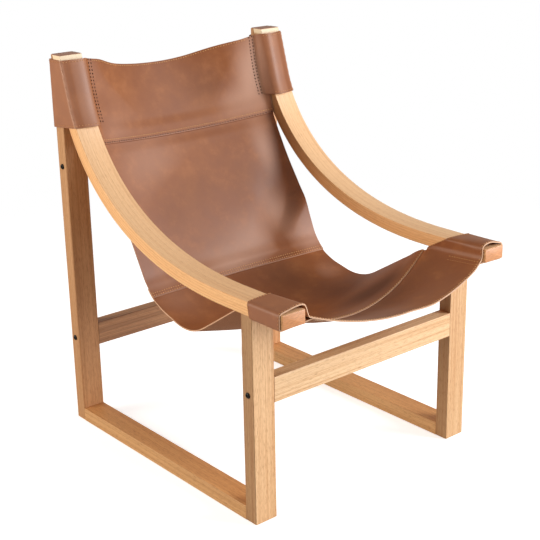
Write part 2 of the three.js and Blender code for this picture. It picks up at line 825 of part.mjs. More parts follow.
// Front band: loops at both ends go over the arm ends and come back under them to be sewn below.
function frontBand() {
  const loopSteps = 5;
  const loopShare = (armReach - bandSetback - loopLeg) / bandLength;
  const shares = Array.from({ length: loopSteps + 1 }, (_, i) => (loopShare * i) / loopSteps);
  const restSteps = 3;
  for (let step = 1; step <= restSteps; step += 1) {
    shares.push(loopShare + ((1 - loopShare) * step) / restSteps);
  }
  const extras = [lapWidth / 2, lapWidth];
  const rows = [
    ...shares.map((share) => ({ along: bandLength * share })),
    ...extras.map((extra) => ({ along: bandLength + extra })),
  ];
  const bandHalf = innerHalf - loopInset;
  const mains = rows.map(({ along }, row) => {
    const half = row <= loopSteps ? bandHalf : slingHalf;
    return acrossValues.map((across) => {
      const [side, middle] = cuts.map((cut) => cut.line.getPointAt((cut.total - along) / cut.total));
      const point = middle.lerp(side, across * across);
      return new THREE.Vector3(across * half, point.x, point.y);
    });
  });
  const outer = innerHalf + armWidth + sheetOff;
  const over = armTop + sheetOff;
  const under = legHeight - sheetOff;
  const grid = mains.map((main, row) => {
    const edge = main[main.length - 1];
    const previous = row > 0 ? mains[row - 1] : main.map((p, i) => p.clone().multiplyScalar(2).sub(mains[1][i]));
    const raked = edge.y + loopRake;
    const corners = [
      edge,
      new THREE.Vector3(innerHalf - sheetOff - loopPuff, raked, over + loopPuff / 2),
      new THREE.Vector3(outer, raked, over),
      new THREE.Vector3(outer, edge.y, under),
      new THREE.Vector3(innerHalf - sheetOff, edge.y, under),
      behindRow(main, previous, loopSewnFrom),
    ];
    const sewn = [loopSewnFrom, (loopSewnFrom + loopSewnTo) / 2, loopSewnTo];
    const flap = sewn.map((inset) => behindRow(main, previous, inset));
    const wrap = bends(corners, [loopShoulder, sleeveCorner, sleeveCorner, sleeveCorner]);
    return wrappedRow(main, [...wrap, ...flap]);
  });
  grid.reverse();
  const lifts = rows.map(({ along }) => -lapLift(bandLength + lapWidth - along)).reverse();
  const wrapCount = (grid[0].length - acrossValues.length) / 2;
  const isMain = (column) => column >= wrapCount && column < wrapCount + acrossSteps;
  return sheet(grid, lifts, (row, column) => isMain(column) || row >= grid.length - 1 - loopSteps);
}

addPiece("head_panel", headPanel(), leather);
addPiece("front_band", frontBand(), leather);

// The origin is on the floor in the middle of the chair's outline.
chair.updateMatrixWorld(true);
const outline = new THREE.Box3().setFromObject(chair, true);
chair.position.y = -(outline.min.y + outline.max.y) / 2;

export default chair;
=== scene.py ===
import math

import bmesh
import bpy
import numpy as np
from mathutils import Matrix, Vector


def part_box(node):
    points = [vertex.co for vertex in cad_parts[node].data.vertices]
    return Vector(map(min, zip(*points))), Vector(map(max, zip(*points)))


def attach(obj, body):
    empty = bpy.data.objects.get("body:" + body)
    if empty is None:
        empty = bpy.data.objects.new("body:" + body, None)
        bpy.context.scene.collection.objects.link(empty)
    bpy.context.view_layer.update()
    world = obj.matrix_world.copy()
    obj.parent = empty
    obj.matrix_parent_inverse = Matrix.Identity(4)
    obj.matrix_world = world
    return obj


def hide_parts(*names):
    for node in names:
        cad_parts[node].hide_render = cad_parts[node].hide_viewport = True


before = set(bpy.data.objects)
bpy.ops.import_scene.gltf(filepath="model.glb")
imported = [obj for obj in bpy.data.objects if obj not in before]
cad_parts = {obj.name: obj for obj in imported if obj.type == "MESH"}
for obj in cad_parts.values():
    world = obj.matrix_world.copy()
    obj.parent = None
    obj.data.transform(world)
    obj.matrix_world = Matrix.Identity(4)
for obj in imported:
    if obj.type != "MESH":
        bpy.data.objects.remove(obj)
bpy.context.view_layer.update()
print("stage: frame loaded")

# Places are worked out in millimetres, with depths from the legs' front faces; toMetres turns them
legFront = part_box("left_front_leg")[0].y * 1000
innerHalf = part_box("front_stretcher")[1].x * 1000
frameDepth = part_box("left_rear_post")[1].y * 1000 - legFront
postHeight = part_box("left_rear_post")[1].z * 1000
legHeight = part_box("left_front_leg")[1].z * 1000
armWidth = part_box("right_arm")[1].x * 1000 - innerHalf
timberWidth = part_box("right_front_leg")[1].x * 1000 - innerHalf


def toMetres(points):
    return (np.asarray(points, float) + np.array([0, legFront, 0])) * 0.001


def unit(vectors):
    return vectors / np.linalg.norm(vectors, axis=-1, keepdims=True)


def smooth(value, low, high):
    share = np.clip((np.asarray(value, float) - low) / (high - low), 0, 1)
    return share * share * (3 - 2 * share)


def bezier(corners, count):
    # points along a cubic curve with four corners, and its direction at each
    t = np.linspace(0, 1, count)[:, None]
    weights = np.hstack([(1 - t) ** 3, 3 * t * (1 - t) ** 2, 3 * t * t * (1 - t), t ** 3])
    slopes = 3 * np.hstack([-((1 - t) ** 2), (1 - t) * (1 - 3 * t), t * (2 - 3 * t), t * t])
    return weights @ np.asarray(corners), unit(slopes @ np.asarray(corners))


def lengthsOf(path):
    # lengths along a path of points, from its start
    return np.concatenate([[0], np.cumsum(np.linalg.norm(np.diff(path, axis=0), axis=1))])


def addObject(name, data):
    made = bpy.data.objects.new(name, data)
    bpy.context.scene.collection.objects.link(made)
    return made


# Shader building

class Wire:
    # one value in a shader tree; arithmetic on it adds Math nodes
    def __init__(self, tree, socket=None):
        self.tree = tree
        self.socket = socket

    def node(self, kind, inputs=None, output=0, **settings):
        made = self.tree.nodes.new(kind)
        for key, value in settings.items():
            setattr(made, key, value)
        for key, value in (inputs or {}).items():
            if isinstance(value, Wire):
                self.tree.links.new(value.socket, made.inputs[key])
            else:
                made.inputs[key].default_value = value
        return Wire(self.tree, made.outputs[output])

    def maths(self, operation, *values):
        return self.node("ShaderNodeMath", dict(enumerate(values)), operation=operation)

    def __add__(self, other):
        return self.maths("ADD", self, other)

    def __radd__(self, other):
        return self.maths("ADD", other, self)

    def __sub__(self, other):
        return self.maths("SUBTRACT", self, other)

    def __rsub__(self, other):
        return self.maths("SUBTRACT", other, self)

    def __mul__(self, other):
        return self.maths("MULTIPLY", self, other)

    def __rmul__(self, other):
        return self.maths("MULTIPLY", other, self)

    def __truediv__(self, other):
        return self.maths("DIVIDE", self, other)

    def __abs__(self):
        return self.maths("ABSOLUTE", self)

    def larger(self, other):
        return self.maths("MAXIMUM", self, other)

    def step(self, low, high):
        # 0 at low, 1 at high, eased between them
        inputs = {"Value": self, "From Min": low, "From Max": high}
        return self.node("ShaderNodeMapRange", inputs, interpolation_type="SMOOTHSTEP")

    def blend(self, first, second):
        # a colour between two, by this value
        return self.node("ShaderNodeMix", {0: self, 6: first, 7: second}, output=2, data_type="RGBA")

    def noise(self, stretch, scale=1.0, detail=3.0, roughness=0.55):
        # this coordinate, stretched, through a noise texture
        placed = self.node("ShaderNodeMapping", {"Vector": self, "Scale": stretch})
        inputs = {"Vector": placed, "Scale": scale, "Detail": detail, "Roughness": roughness}
        return self.node("ShaderNodeTexNoise", inputs)

    def evenNoise(self, scale, detail, roughness):
        return self.noise((scale, scale, scale), detail=detail, roughness=roughness)

    def bump(self, strength, distance):
        # this height as a change of the surface's direction
        inputs = {"Strength": strength, "Distance": distance, "Height": self}
        return self.node("ShaderNodeBump", inputs, output="Normal")

    def part(self, axis):
        return self.node("ShaderNodeSeparateXYZ", {0: self}, output=axis)


def tone(red, green, blue):
    # a colour as it looks on screen, turned to linear light
    channels = [value / 255 for value in (red, green, blue)]
    linear = [c / 12.92 if c < 0.04045 else ((c + 0.055) / 1.055) ** 2.4 for c in channels]
    return (*linear, 1.0)


def newMaterial(name, roughness, metallic=0.0):
    material = bpy.data.materials.new(name)
    material.use_nodes = True
    shader = material.node_tree.nodes["Principled BSDF"]
    shader.inputs["Roughness"].default_value = roughness
    shader.inputs["Metallic"].default_value = metallic
    return material, Wire(material.node_tree), shader


def plug(wire, shader, name):
    wire.tree.links.new(wire.socket, shader.inputs[name])


def plainMaterial(name, colour, roughness, metallic=0.0):
    material, _, shader = newMaterial(name, roughness, metallic)
    shader.inputs["Base Color"].default_value = colour
    return material


# Wood: slow changes of tone, growth lines along one axis, and short dark pores; each noise has its stretch
# across and along the grain, its detail and its roughness

woodSettings = {
    "noises": {
        "slow": (9, 0.9, 2, 0.55),
        "growth": (150, 1.6, 3, 0.55),
        "lines": (430, 2.4, 2, 0.6),
        "pores": (950, 60, 2, 0.6),
        "fine": (2200, 160, 2, 0.6),
    },
    "bump": (0.1, 0.0005),
    "faceFade": (1.4, 0.6),
    "endFade": (1.6, 0.6),
    "pale": tone(238, 198, 152),
    "mid": tone(226, 178, 128),
    "dark": tone(194, 134, 82),
    "pore": tone(164, 104, 58),
    "endGrain": tone(152, 88, 66),
    # painted highlight colour for the top ends of the arms
    "topHighlight": tone(255, 236, 206),
    "sawn": tone(204, 134, 82),
    "sawnDark": tone(172, 104, 58),
    # the side faces' tint paints shade where it is below 1 and light where it is above 1
    "sideShadeTint": (1.0, 1.0, 1.0, 1.0),
    "grain": 1.0,
    "roughness": 0.46,
}
legSettings = {
    **woodSettings,
    "pale": tone(240, 201, 156),
    "mid": tone(227, 182, 134),
    "sideShadeTint": (0.57, 0.51, 0.46, 1.0),
}
# painted shade: the right leg's own copy of the leg wood, darker than the left leg's
rightLegPaintedShadeSettings = {
    **legSettings,
    "pale": tone(223, 185, 142),
    "mid": tone(209, 166, 119),
    "sideShadeTint": (0.66, 0.6, 0.55, 1.0),
}
bentSettings = {
    **woodSettings,
    "pale": tone(254, 213, 168),
    "mid": tone(247, 197, 147),
    # painted shade: this colour, its share and its heights darken the arms' inner faces below the sleeves
    "dyed": tone(118, 70, 38),
    "innerShadeShare": 0.55,
    "innerShadeHeights": (550, 720),
    "layerShare": 0.35,
    "glueShare": 0.45,
    "glueFade": (0.09, 0.02),
    "skinFade": (0.05, 0.3),
    "sawnDepth": 2,
    # painted highlight: a pale band this many millimetres below the posts' top
    "topHighlightDrops": (16, 9),
    "endShare": 0.85,
    "sideShadeTint": (1.02, 0.94, 0.8, 1.0),
    "grain": 0.55,
    "roughness": 0.4,
}
railSettings = {
    **woodSettings,
    "pale": tone(228, 172, 114),
    "mid": tone(210, 149, 91),
    "sideShadeTint": (1.0, 1.15, 1.35, 1.0),
}
postSettings = {
    **woodSettings,
    "pale": tone(222, 168, 118),
    "mid": tone(198, 142, 95),
    "sideShadeTint": (0.86, 0.9, 0.95, 1.0),
}
frontSettings = {
    **woodSettings,
    "pale": tone(240, 205, 162),
    "mid": tone(229, 188, 141),
    "grain": 0.8,
}
rearSettings = {
    **woodSettings,
    "pale": tone(218, 166, 122),
    "mid": tone(180, 130, 92),
    "dark": tone(132, 90, 62),
}


def woodColour(coords, axis, settings):
    fields = []
    for across, along, detail, roughness in settings["noises"].values():
        stretch = tuple(along if i == axis else across for i in range(3))
        fields.append(coords.noise(stretch, detail=detail, roughness=roughness))
    slow, growth, lines, pores, fine = fields
    body = (slow * 0.6 + growth * 0.7 - 0.15).step(0.25, 0.75).blend(settings["pale"], settings["mid"])
    banded = (growth.step(0.48, 0.74) * 0.4 * settings["grain"]).blend(body, settings["dark"])
    lined = (lines.step(0.48, 0.7) * 0.65 * settings["grain"]).blend(banded, settings["dark"])
    dashes = pores.step(0.5, 0.7) * (0.25 + growth * 0.8) * settings["grain"]
    return dashes.blend(lined, settings["pore"]), pores * 0.6 + fine * 0.4


def woodMaterial(name, axis, settings, topEnd=None):
    material, start, shader = newMaterial(name, settings["roughness"])
    coords = start.node("ShaderNodeTexCoord", output="Object")
    colour, height = woodColour(coords, axis, settings)
    # painted shade and light on the side faces
    if axis:
        colour = shadeSideFaces(coords, colour, settings, timberWidth)
    if topEnd is not None:
        colour = topGrain(coords, colour, topEnd, settings)
    plug(colour, shader, "Base Color")
    plug(height.bump(*settings["bump"]), shader, "Normal")
    return material


def shadeSideFaces(coords, colour, settings, width):
    # painted shade and light: the side faces' colour is multiplied by a tint, darker where it is below 1 and
    # lighter where it is above 1, against the faces to the front and top
    half = width / 2
    off = abs(abs(coords.part(0)) - (innerHalf + half) * 0.001)
    beside = off.step(*((half - fade) * 0.001 for fade in settings["faceFade"]))
    tinted = {0: beside, 6: colour, 7: settings["sideShadeTint"]}
    return coords.node("ShaderNodeMix", tinted, output=2, data_type="RGBA", blend_type="MULTIPLY")


def topGrain(coords, colour, topEnd, settings):
    # the sawn top end is darker, with dots for the cut pores
    ending = coords.part(2).step(*((topEnd - fade) * 0.001 for fade in settings["endFade"]))
    dots = coords.noise((420, 420, 1), detail=2)
    return (ending * (0.75 + dots * 0.25)).blend(colour, settings["endGrain"])


legWood = woodMaterial("leg_wood", 2, legSettings)
rightLegPaintedShadeWood = woodMaterial("right_leg_painted_shade_wood", 2, rightLegPaintedShadeSettings)
postWood = woodMaterial("post_wood", 2, postSettings, topEnd=postHeight)
railWood = woodMaterial("rail_wood", 1, railSettings)
stretcherWood = woodMaterial("stretcher_wood", 0, frontSettings)
rearWood = woodMaterial("rear_stretcher_wood", 0, rearSettings)
dowelWood = woodMaterial("dowel_wood", 2, woodSettings)

boltBlack = plainMaterial("bolt_black", tone(34, 32, 32), roughness=0.32, metallic=0.7)
zinc = plainMaterial("zinc_steel", tone(196, 198, 202), roughness=0.35, metallic=1.0)


def woodFor(name):
    if "_dowel_" in name:
        return dowelWood
    if name.endswith("_leg"):
        return rightLegPaintedShadeWood if name.startswith("right_") else legWood
    if name.endswith("_post"):
        return postWood
    if name.endswith("_rail"):
        return railWood
    return rearWood if "_rear_" in name else stretcherWood


for name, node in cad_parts.items():
    if "_bolt_" in name:
        finish = boltBlack
    elif "_nut_" in name or "_screw_" in name:
        finish = zinc
    else:
        finish = woodFor(name)
    node.data.materials.clear()
    node.data.materials.append(finish)
print("stage: frame finishes set")


# Bent arms: layers glued over one another, so their lines follow the curve

armSettings = {
    "thickness": 32,
    "reach": 102,
    "flatEnd": 86,
    "frontPull": 447,
    "topPull": 74,
    "upperRun": 117,
    "lean": math.radians(16),
    "topSetback": 43.5,
    "round": 1.6,
    "leastRound": 0.3,
    "cornerSteps": 5,
    "endRound": 1.4,
    "endProfile": ((0, 1.0), (0.2, 0.6), (0.5, 0.3), (0.9, 0.08)),
    "topProfile": ((1.2, 0), (0.4, 0.3), (0, 0.9)),
    "layer": 6.4,
    "flatSteps": 30,
    "steps": 110,
    "fineSteps": 800,
    "sharpAngle": 48,
}
armTop = legHeight + armSettings["thickness"]
bendTop = np.array([
    frameDepth - armSettings["topSetback"] - armSettings["upperRun"] * math.tan(armSettings["lean"]),
    postHeight - armSettings["upperRun"],
])


def armSweep(count):
    # the upper face's line through the bend, and its direction
    s = armSettings
    lean = np.array([math.sin(s["lean"]), math.cos(s["lean"])])
    corners = np.array([
        [s["flatEnd"], armTop],
        [s["flatEnd"] + s["frontPull"], armTop],
        bendTop - s["topPull"] * lean,
        bendTop,
    ])
    return bezier(corners, count)


def armFaceDepth(height):
    line, _ = armSweep(armSettings["fineSteps"])
    swept = np.interp(height, line[:, 1], line[:, 0])
    straight = bendTop[0] + (height - bendTop[1]) * math.tan(armSettings["lean"])
    return np.where(height > bendTop[1], straight, swept)


def armRing(face, along, inset):
    # a section with rounded corners, drawn in by an inset, and its places under a point of the upper face
    s = armSettings
    radius = max(s["round"] - inset * 0.5, s["leastRound"])
    x = armWidth / 2 - inset - radius
    y = s["thickness"] / 2 - inset - radius
    turns = np.linspace(0, math.pi / 2, s["cornerSteps"])
    points = []
    for quarter, (sx, sy) in enumerate(((1, 1), (-1, 1), (-1, -1), (1, -1))):
        angle = turns + quarter * math.pi / 2
        points.append(np.stack([sx * x + radius * np.cos(angle), sy * y + radius * np.sin(angle)], -1))
    outline = np.concatenate(points)
    under = np.array([along[1], -along[0]])
    return outline, face + under * s["thickness"] / 2 + outline[:, 1:] * under


def armRings():
    # points of each ring along the arm, and the same points in the straight timber that it was bent from
    s = armSettings
    sweep, tangents = armSweep(s["steps"])
    level = np.array([1.0, 0.0])
    rings = []
    for back, inset in (*s["endProfile"], (s["endRound"], 0)):
        rings.append((np.array([back - s["reach"], armTop]), level, inset * s["endRound"]))
    for depth in np.linspace(s["endRound"] - s["reach"], s["flatEnd"], s["flatSteps"])[1:-1]:
        rings.append((np.array([depth, armTop]), level, 0))
    rings += [(face, along, 0) for face, along in zip(sweep, tangents)]
    travelled = lengthsOf([face for face, _, _ in rings])
    places, rests = [], []

    def add(outline, placed, reached):
        reached = np.broadcast_to(reached, len(outline))
        places.append(np.column_stack([outline[:, 0], placed]))
        rests.append(np.column_stack([outline[:, 0], reached, outline[:, 1] + s["thickness"] / 2]))

    for (face, along, inset), reached in zip(rings, travelled):
        add(*armRing(face, along, inset), reached)
    upward = tangents[-1]
    for drop, inset in s["topProfile"]:
        outline, placed = armRing(sweep[-1], upward, inset)
        rise = (postHeight - drop - placed[:, 1]) / upward[1]
        add(outline, placed + rise[:, None] * upward, travelled[-1] + rise)
    return np.array(places), np.array(rests)


def tubeFaces(rings, count):
    # faces between neighbouring rings of points, and one over each end
    index = np.arange(rings * count).reshape(rings, count)
    after = np.roll(index, -1, axis=1)
    quads = np.stack([index[:-1], after[:-1], after[1:], index[1:]], -1).reshape(-1, 4)
    return [*quads.tolist(), index[0, ::-1].tolist(), index[-1].tolist()]


def makeArm(name, side, material):
    places, rests = armRings()
    points = places.reshape(-1, 3) + np.array([side * (innerHalf + armWidth / 2), 0, 0])
    mesh = bpy.data.meshes.new(name)
    mesh.from_pydata(toMetres(points).tolist(), [], tubeFaces(*places.shape[:2]))
    rest = mesh.attributes.new("rest", "FLOAT_VECTOR", "POINT")
    rest.data.foreach_set("vector", (rests * 0.001).astype(np.float32).ravel())
    mesh.shade_smooth()
    mesh.set_sharp_from_angle(angle=math.radians(armSettings["sharpAngle"]))
    mesh.materials.append(material)
    return addObject(name, mesh)


def armMaterial(name, settings):
    material, start, shader = newMaterial(name, settings["roughness"])
    rest = start.node("ShaderNodeAttribute", output="Vector", attribute_name="rest")
    coords = start.node("ShaderNodeTexCoord", output="Object")
    colour, height = woodColour(rest, 1, settings)
    layers = armSettings["thickness"] / armSettings["layer"]
    depth = rest.part(2) / (armSettings["layer"] * 0.001)
    layerNumber = depth.maths("FLOOR", depth)
    layerTone = start.node("ShaderNodeTexWhiteNoise", {"W": layerNumber}, noise_dimensions="1D")
    toned = (layerTone * settings["layerShare"]).blend(colour, settings["mid"])
    glue = (0.5 - abs(depth - layerNumber - 0.5)).step(*settings["glueFade"])
    inside = depth.step(*settings["skinFade"]) * (layers - depth).step(*settings["skinFade"])
    lined = (glue * inside * settings["glueShare"]).blend(toned, settings["dark"])
    # painted shade and light on the arms' side faces
    beside = shadeSideFaces(coords, lined, settings, armWidth)
    # painted shade: the arms' inner faces below the sleeves are darkened, as the leather shades them
    inner = (0 - abs(coords.part(0))).step(*((innerHalf + fade) * -0.001 for fade in settings["faceFade"]))
    high = coords.part(2).step(*(height * 0.001 for height in settings["innerShadeHeights"]))
    dyed = (inner * high * settings["innerShadeShare"]).blend(beside, settings["dyed"])
    ending = (0 - rest.part(1)).step(settings["sawnDepth"] * -0.001, 0)
    streaks = rest.noise((70, 1, 700), detail=2).step(0.42, 0.66)
    cut = streaks.blend(settings["sawn"], settings["sawnDark"])
    sawn = (ending * settings["endShare"]).blend(dyed, cut)
    # painted highlight: the top ends of the arms are paled
    upper = coords.part(2).step(*((postHeight - drop) * 0.001 for drop in settings["topHighlightDrops"]))
    topHighlighted = (upper * settings["endShare"]).blend(sawn, settings["topHighlight"])
    plug(topGrain(coords, topHighlighted, postHeight, settings), shader, "Base Color")
    plug(height.bump(*settings["bump"]), shader, "Normal")
    return material


armWood = armMaterial("arm_wood", bentSettings)
for sideName, side in (("left", -1), ("right", 1)):
    arm = makeArm(f"{sideName}_bent_arm", side, armWood)
    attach(arm, "root")
    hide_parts(f"{sideName}_arm")
print("stage: arms built")


# Leather finishes; each noise has its scale, detail and roughness

leatherSettings = {
    "noises": {
        "cloud": (5, 3, 0.55),
        "mottle": (26, 4, 0.6),
        "grain": (700, 2, 0.55),
        "creases": (160, 3, 0.65),
    },
    "bump": (0.14, 0.0008),
    "fibre": (420, 3, 0.7),
    "fibreDark": 0.72,
    "fibreDepth": 0.0008,
    "base": tone(154, 92, 49),
    "dark": tone(139, 79, 41),
    "light": tone(172, 108, 64),
    # dark colour for wear and painted shade
    "wearShadeSheen": tone(97, 53, 28),
    # painted sheen colour
    "paintedSheen": tone(212, 167, 145),
    "flesh": tone(170, 118, 84),
    "rawEdge": tone(228, 184, 152),
    "dyedEdge": tone(140, 84, 50),
    "sewnEdge": tone(188, 140, 110),
    "thread": tone(228, 176, 116),
    # painted shade: thread darkened to stand for tan thread sunk in the shade of its groove
    "shadedThread": tone(58, 31, 18),
    "edgeThread": tone(204, 148, 98),
    "roughness": 0.36,
    "dulled": 0.3,
    "gloss": 0.5,
}


def leatherMaterial(name, settings):
    material, start, shader = newMaterial(name, settings["roughness"])
    coords = start.node("ShaderNodeTexCoord", output="Object")
    cloud, mottle, grain, creases = (coords.evenNoise(*shape) for shape in settings["noises"].values())
    darkened = (cloud * 0.6 + mottle * 0.4).step(0.36, 0.66).blend(settings["dark"], settings["base"])
    lightened = (mottle.step(0.5, 0.8) * 0.45).blend(darkened, settings["light"])
    shader.inputs["Specular IOR Level"].default_value = settings["gloss"]
    # the attribute of wear, shade and sheen: above 0 darkens and dulls the leather, as wear and painted
    # shade; below 0 turns it towards the painted sheen colour
    wearShadeSheen = start.node("ShaderNodeAttribute", output="Fac", attribute_name="wearShadeSheen")
    used = wearShadeSheen.larger(0.0)
    darker = used.blend(lightened, settings["wearShadeSheen"])
    paintedSheen = (0 - wearShadeSheen).larger(0.0).blend(darker, settings["paintedSheen"])
    plug(paintedSheen, shader, "Base Color")
    rough = settings["roughness"] + mottle * 0.12 + grain * 0.06
    plug(rough + used * settings["dulled"], shader, "Roughness")
    height = grain * 0.35 + creases * 0.65
    plug(height.bump(*settings["bump"]), shader, "Normal")
    return material


def fleshMaterial(name, colour, roughness, strength):
    material, start, shader = newMaterial(name, roughness)
    coords = start.node("ShaderNodeTexCoord", output="Object")
    fibre = coords.evenNoise(*leatherSettings["fibre"])
    darker = tuple(value * leatherSettings["fibreDark"] for value in colour[:3]) + (1.0,)
    plug(fibre.step(0.3, 0.75).blend(darker, colour), shader, "Base Color")
    plug(fibre.bump(strength, leatherSettings["fibreDepth"]), shader, "Normal")
    return material


grainSide = leatherMaterial("leather_grain", leatherSettings)
fleshSide = fleshMaterial("leather_flesh", leatherSettings["flesh"], roughness=0.8, strength=0.3)
rawEdge, dyedEdge, sewnEdge = (
    fleshMaterial(f"leather_{kind}_edge", leatherSettings[f"{kind}Edge"], roughness=0.75, strength=0.2)
    for kind in ("raw", "dyed", "sewn")
)
threadFinishes = {
    label: plainMaterial(f"leather_{label}", leatherSettings[label], roughness=0.6)
    for label in ("thread", "shadedThread", "edgeThread")
}


# Sling guide lines: the side edges and the middle, as depth and height

slingSettings = {
    "thickness": 3.0,
    "ease": 1.2,
    "sideGap": 3.0,
    "lap": 28.0,
    "lapRamp": 30.0,
    "lapGap": 0.3,
    "trim": 1.0,
    "bevel": 0.7,
    "headDrop": 12,
    "sleeveHeight": 158,
    "headLength": 212,
    "headHollow": 11,
    "backLength": 398,
    "bandLength": 186,
    "step": 4.0,
    "rowInset": 4,
    "evened": 40,
    "slack": 0.01,
    "sharpAngle": 55,
}
mirror = np.array([-1, 1, 1])


def roundedLine(corners, runs, steps=60):
    # straight runs between corners, each corner rounded; returns points and their lengths along the line
    corners = np.array(corners, float)
    path = [corners[0]]
    t = np.linspace(0, 1, steps)[:, None]
    for i, run in enumerate(runs, 1):
        sides = corners[[i - 1, i + 1]] - corners[i]
        run = min(run, 0.5 * np.linalg.norm(sides, axis=1).min())
        before, after = corners[i] + unit(sides) * run
        path.extend((1 - t) ** 2 * before + 2 * t * (1 - t) * corners[i] + t * t * after)
    path.append(corners[-1])
    return np.array(path), lengthsOf(path)


def atLength(line, length):
    path, lengths = line
    return np.stack([np.interp(length, lengths, path[:, i]) for i in range(path.shape[1])], -1)


# corners of the side edge as depth and height over the legs, then the middle's corners from those
guideSettings = {
    "seamForward": 42,
    "seatBack": (458, -109),
    "seatLow": (304, -142),
    "roll": (78, -3),
    "frontIn": 5,
    "frontRise": 8,
    "sideRuns": (36, 60, 60, 42),
    "middleOffs": {
        "top": (98, -52),
        "seam": (40, -15),
        "seatBack": (12, 0),
        "seatLow": (6, -42),
        "front": (-27, -51),
    },
    "middleRuns": (60, 75, 90),
}


def overLegs(depth, height):
    return np.array([depth, legHeight + height])


sheetOff = slingSettings["thickness"] / 2 + slingSettings["ease"]
slingHalf = innerHalf - slingSettings["sideGap"]
rowEnd = slingHalf - slingSettings["rowInset"]
headTop = postHeight - slingSettings["headDrop"]
sideTop = np.array([armFaceDepth(headTop) - sheetOff, headTop])
sideFront = overLegs(guideSettings["frontIn"] - armSettings["reach"], guideSettings["frontRise"])
sideCorners = {
    "top": sideTop,
    "seam": sideTop - (guideSettings["seamForward"], slingSettings["headLength"]),
    "seatBack": overLegs(*guideSettings["seatBack"]),
    "seatLow": overLegs(*guideSettings["seatLow"]),
    "roll": overLegs(*guideSettings["roll"]),
    "front": sideFront,
}
middleCorners = [sideCorners[name] + off for name, off in guideSettings["middleOffs"].items()]
sideLine = roundedLine(list(sideCorners.values()), guideSettings["sideRuns"])
middleLine = roundedLine(middleCorners, guideSettings["middleRuns"])


def cutsOf(line, hollow):
    headCut = slingSettings["headLength"] - hollow
    total = line[1][-1]
    return {"top": 0, "head": headCut, "back": headCut + slingSettings["backLength"],
            "seat": total - slingSettings["bandLength"], "front": total}


sideCuts = cutsOf(sideLine, 0)
middleCuts = cutsOf(middleLine, slingSettings["headHollow"])


def slingRows(start, end, along):
    # points over the sling between two cuts: one row per length, one column per place across
    length = sideCuts[end] - sideCuts[start]
    share = np.clip(along / length, 0, 1)
    over = along - share * length
    lines = []
    for line, cuts in ((sideLine, sideCuts), (middleLine, middleCuts)):
        lines.append(atLength(line, cuts[start] + (cuts[end] - cuts[start]) * share + over))
    side, middle = lines
    across = acrossPlaces / slingHalf
    weight = (across ** 2)[None, :, None]
    depthHeight = middle[:, None, :] + (side - middle)[:, None, :] * weight
    x = np.broadcast_to(acrossPlaces[None, :, None], depthHeight.shape[:2] + (1,))
    return np.concatenate([x, depthHeight], -1)


acrossCount = 2 * int(slingHalf / slingSettings["step"]) + 1
acrossPlaces = np.linspace(-slingHalf, slingHalf, acrossCount)


def rowPlaces(low, high, trim=0.0):
    # even places, with one more close to the end where an edge is trimmed
    places = np.linspace(low, high - trim, int((high - low) / slingSettings["step"]) + 1)
    return np.append(places, high) if trim else places


def lapLift(distance):
    s = slingSettings
    lift = (s["thickness"] + s["lapGap"]) / 2
    return lift * (1 - smooth(distance, s["lap"], s["lap"] + s["lapRamp"]))


def bySide(values):
    # the left or the right value at each place across
    return np.where(acrossPlaces < 0, values["left"], values["right"])


def wholeSheet(along):
    # every cell of the grid kept
    return np.ones((len(along) - 1, acrossCount - 1), bool)


def wearShadeSheenBy(across, along, wearShadeSheenPatches):
    # soft patches in the sheet's own flat places: more than 0 darkens, as wear and painted shade; less than 0
    # lightens, as painted sheen
    total = np.zeros(np.broadcast(across, along).shape)
    for (acrossAt, alongAt), (wide, tall), amount in wearShadeSheenPatches:
        total += amount * np.exp(-(((across - acrossAt) / wide) ** 2) - ((along - alongAt) / tall) ** 2)
    return total


def between(along, knots, values):
    # values between knots, averaged over a short run so that no kink shows
    offs = np.linspace(-slingSettings["evened"], slingSettings["evened"], 17)
    return np.mean([np.interp(along + off, knots, values) for off in offs], axis=0)


# A crease runs down the sheet: across it the leather falls to a bottom, rises to a crest and stays there
def creaseHeight(across, along, crease):
    keys = ("bottom", "crest", "depth", "rise", "approach")
    bottom, crest, depth, rise, approach = (between(along, crease["along"], crease[key]) for key in keys)
    falling = smooth(across, bottom - approach, bottom)
    return (depth + rise) * smooth(across, bottom, crest) - depth * falling


def gridNormals(grid, keep):
    down = grid[1:, :-1] + grid[1:, 1:] - grid[:-1, :-1] - grid[:-1, 1:]
    over = grid[:-1, 1:] + grid[1:, 1:] - grid[:-1, :-1] - grid[1:, :-1]
    cell = np.cross(down, over)
    cell = cell / np.maximum(np.linalg.norm(cell, axis=-1, keepdims=True), 1e-9) * keep[..., None]
    total = np.zeros(grid.shape)
    total[:-1, :-1] += cell
    total[1:, :-1] += cell
    total[:-1, 1:] += cell
    total[1:, 1:] += cell
    # rows that meet share their normals, so that a slit closes where it ends
    same = np.all(np.abs(grid[1:] - grid[:-1]) < 1e-6, axis=-1)
    joined = total[:-1] + total[1:]
    total[:-1][same] = joined[same]
    total[1:][same] = joined[same]
    return total / np.maximum(np.linalg.norm(total, axis=-1, keepdims=True), 1e-9)


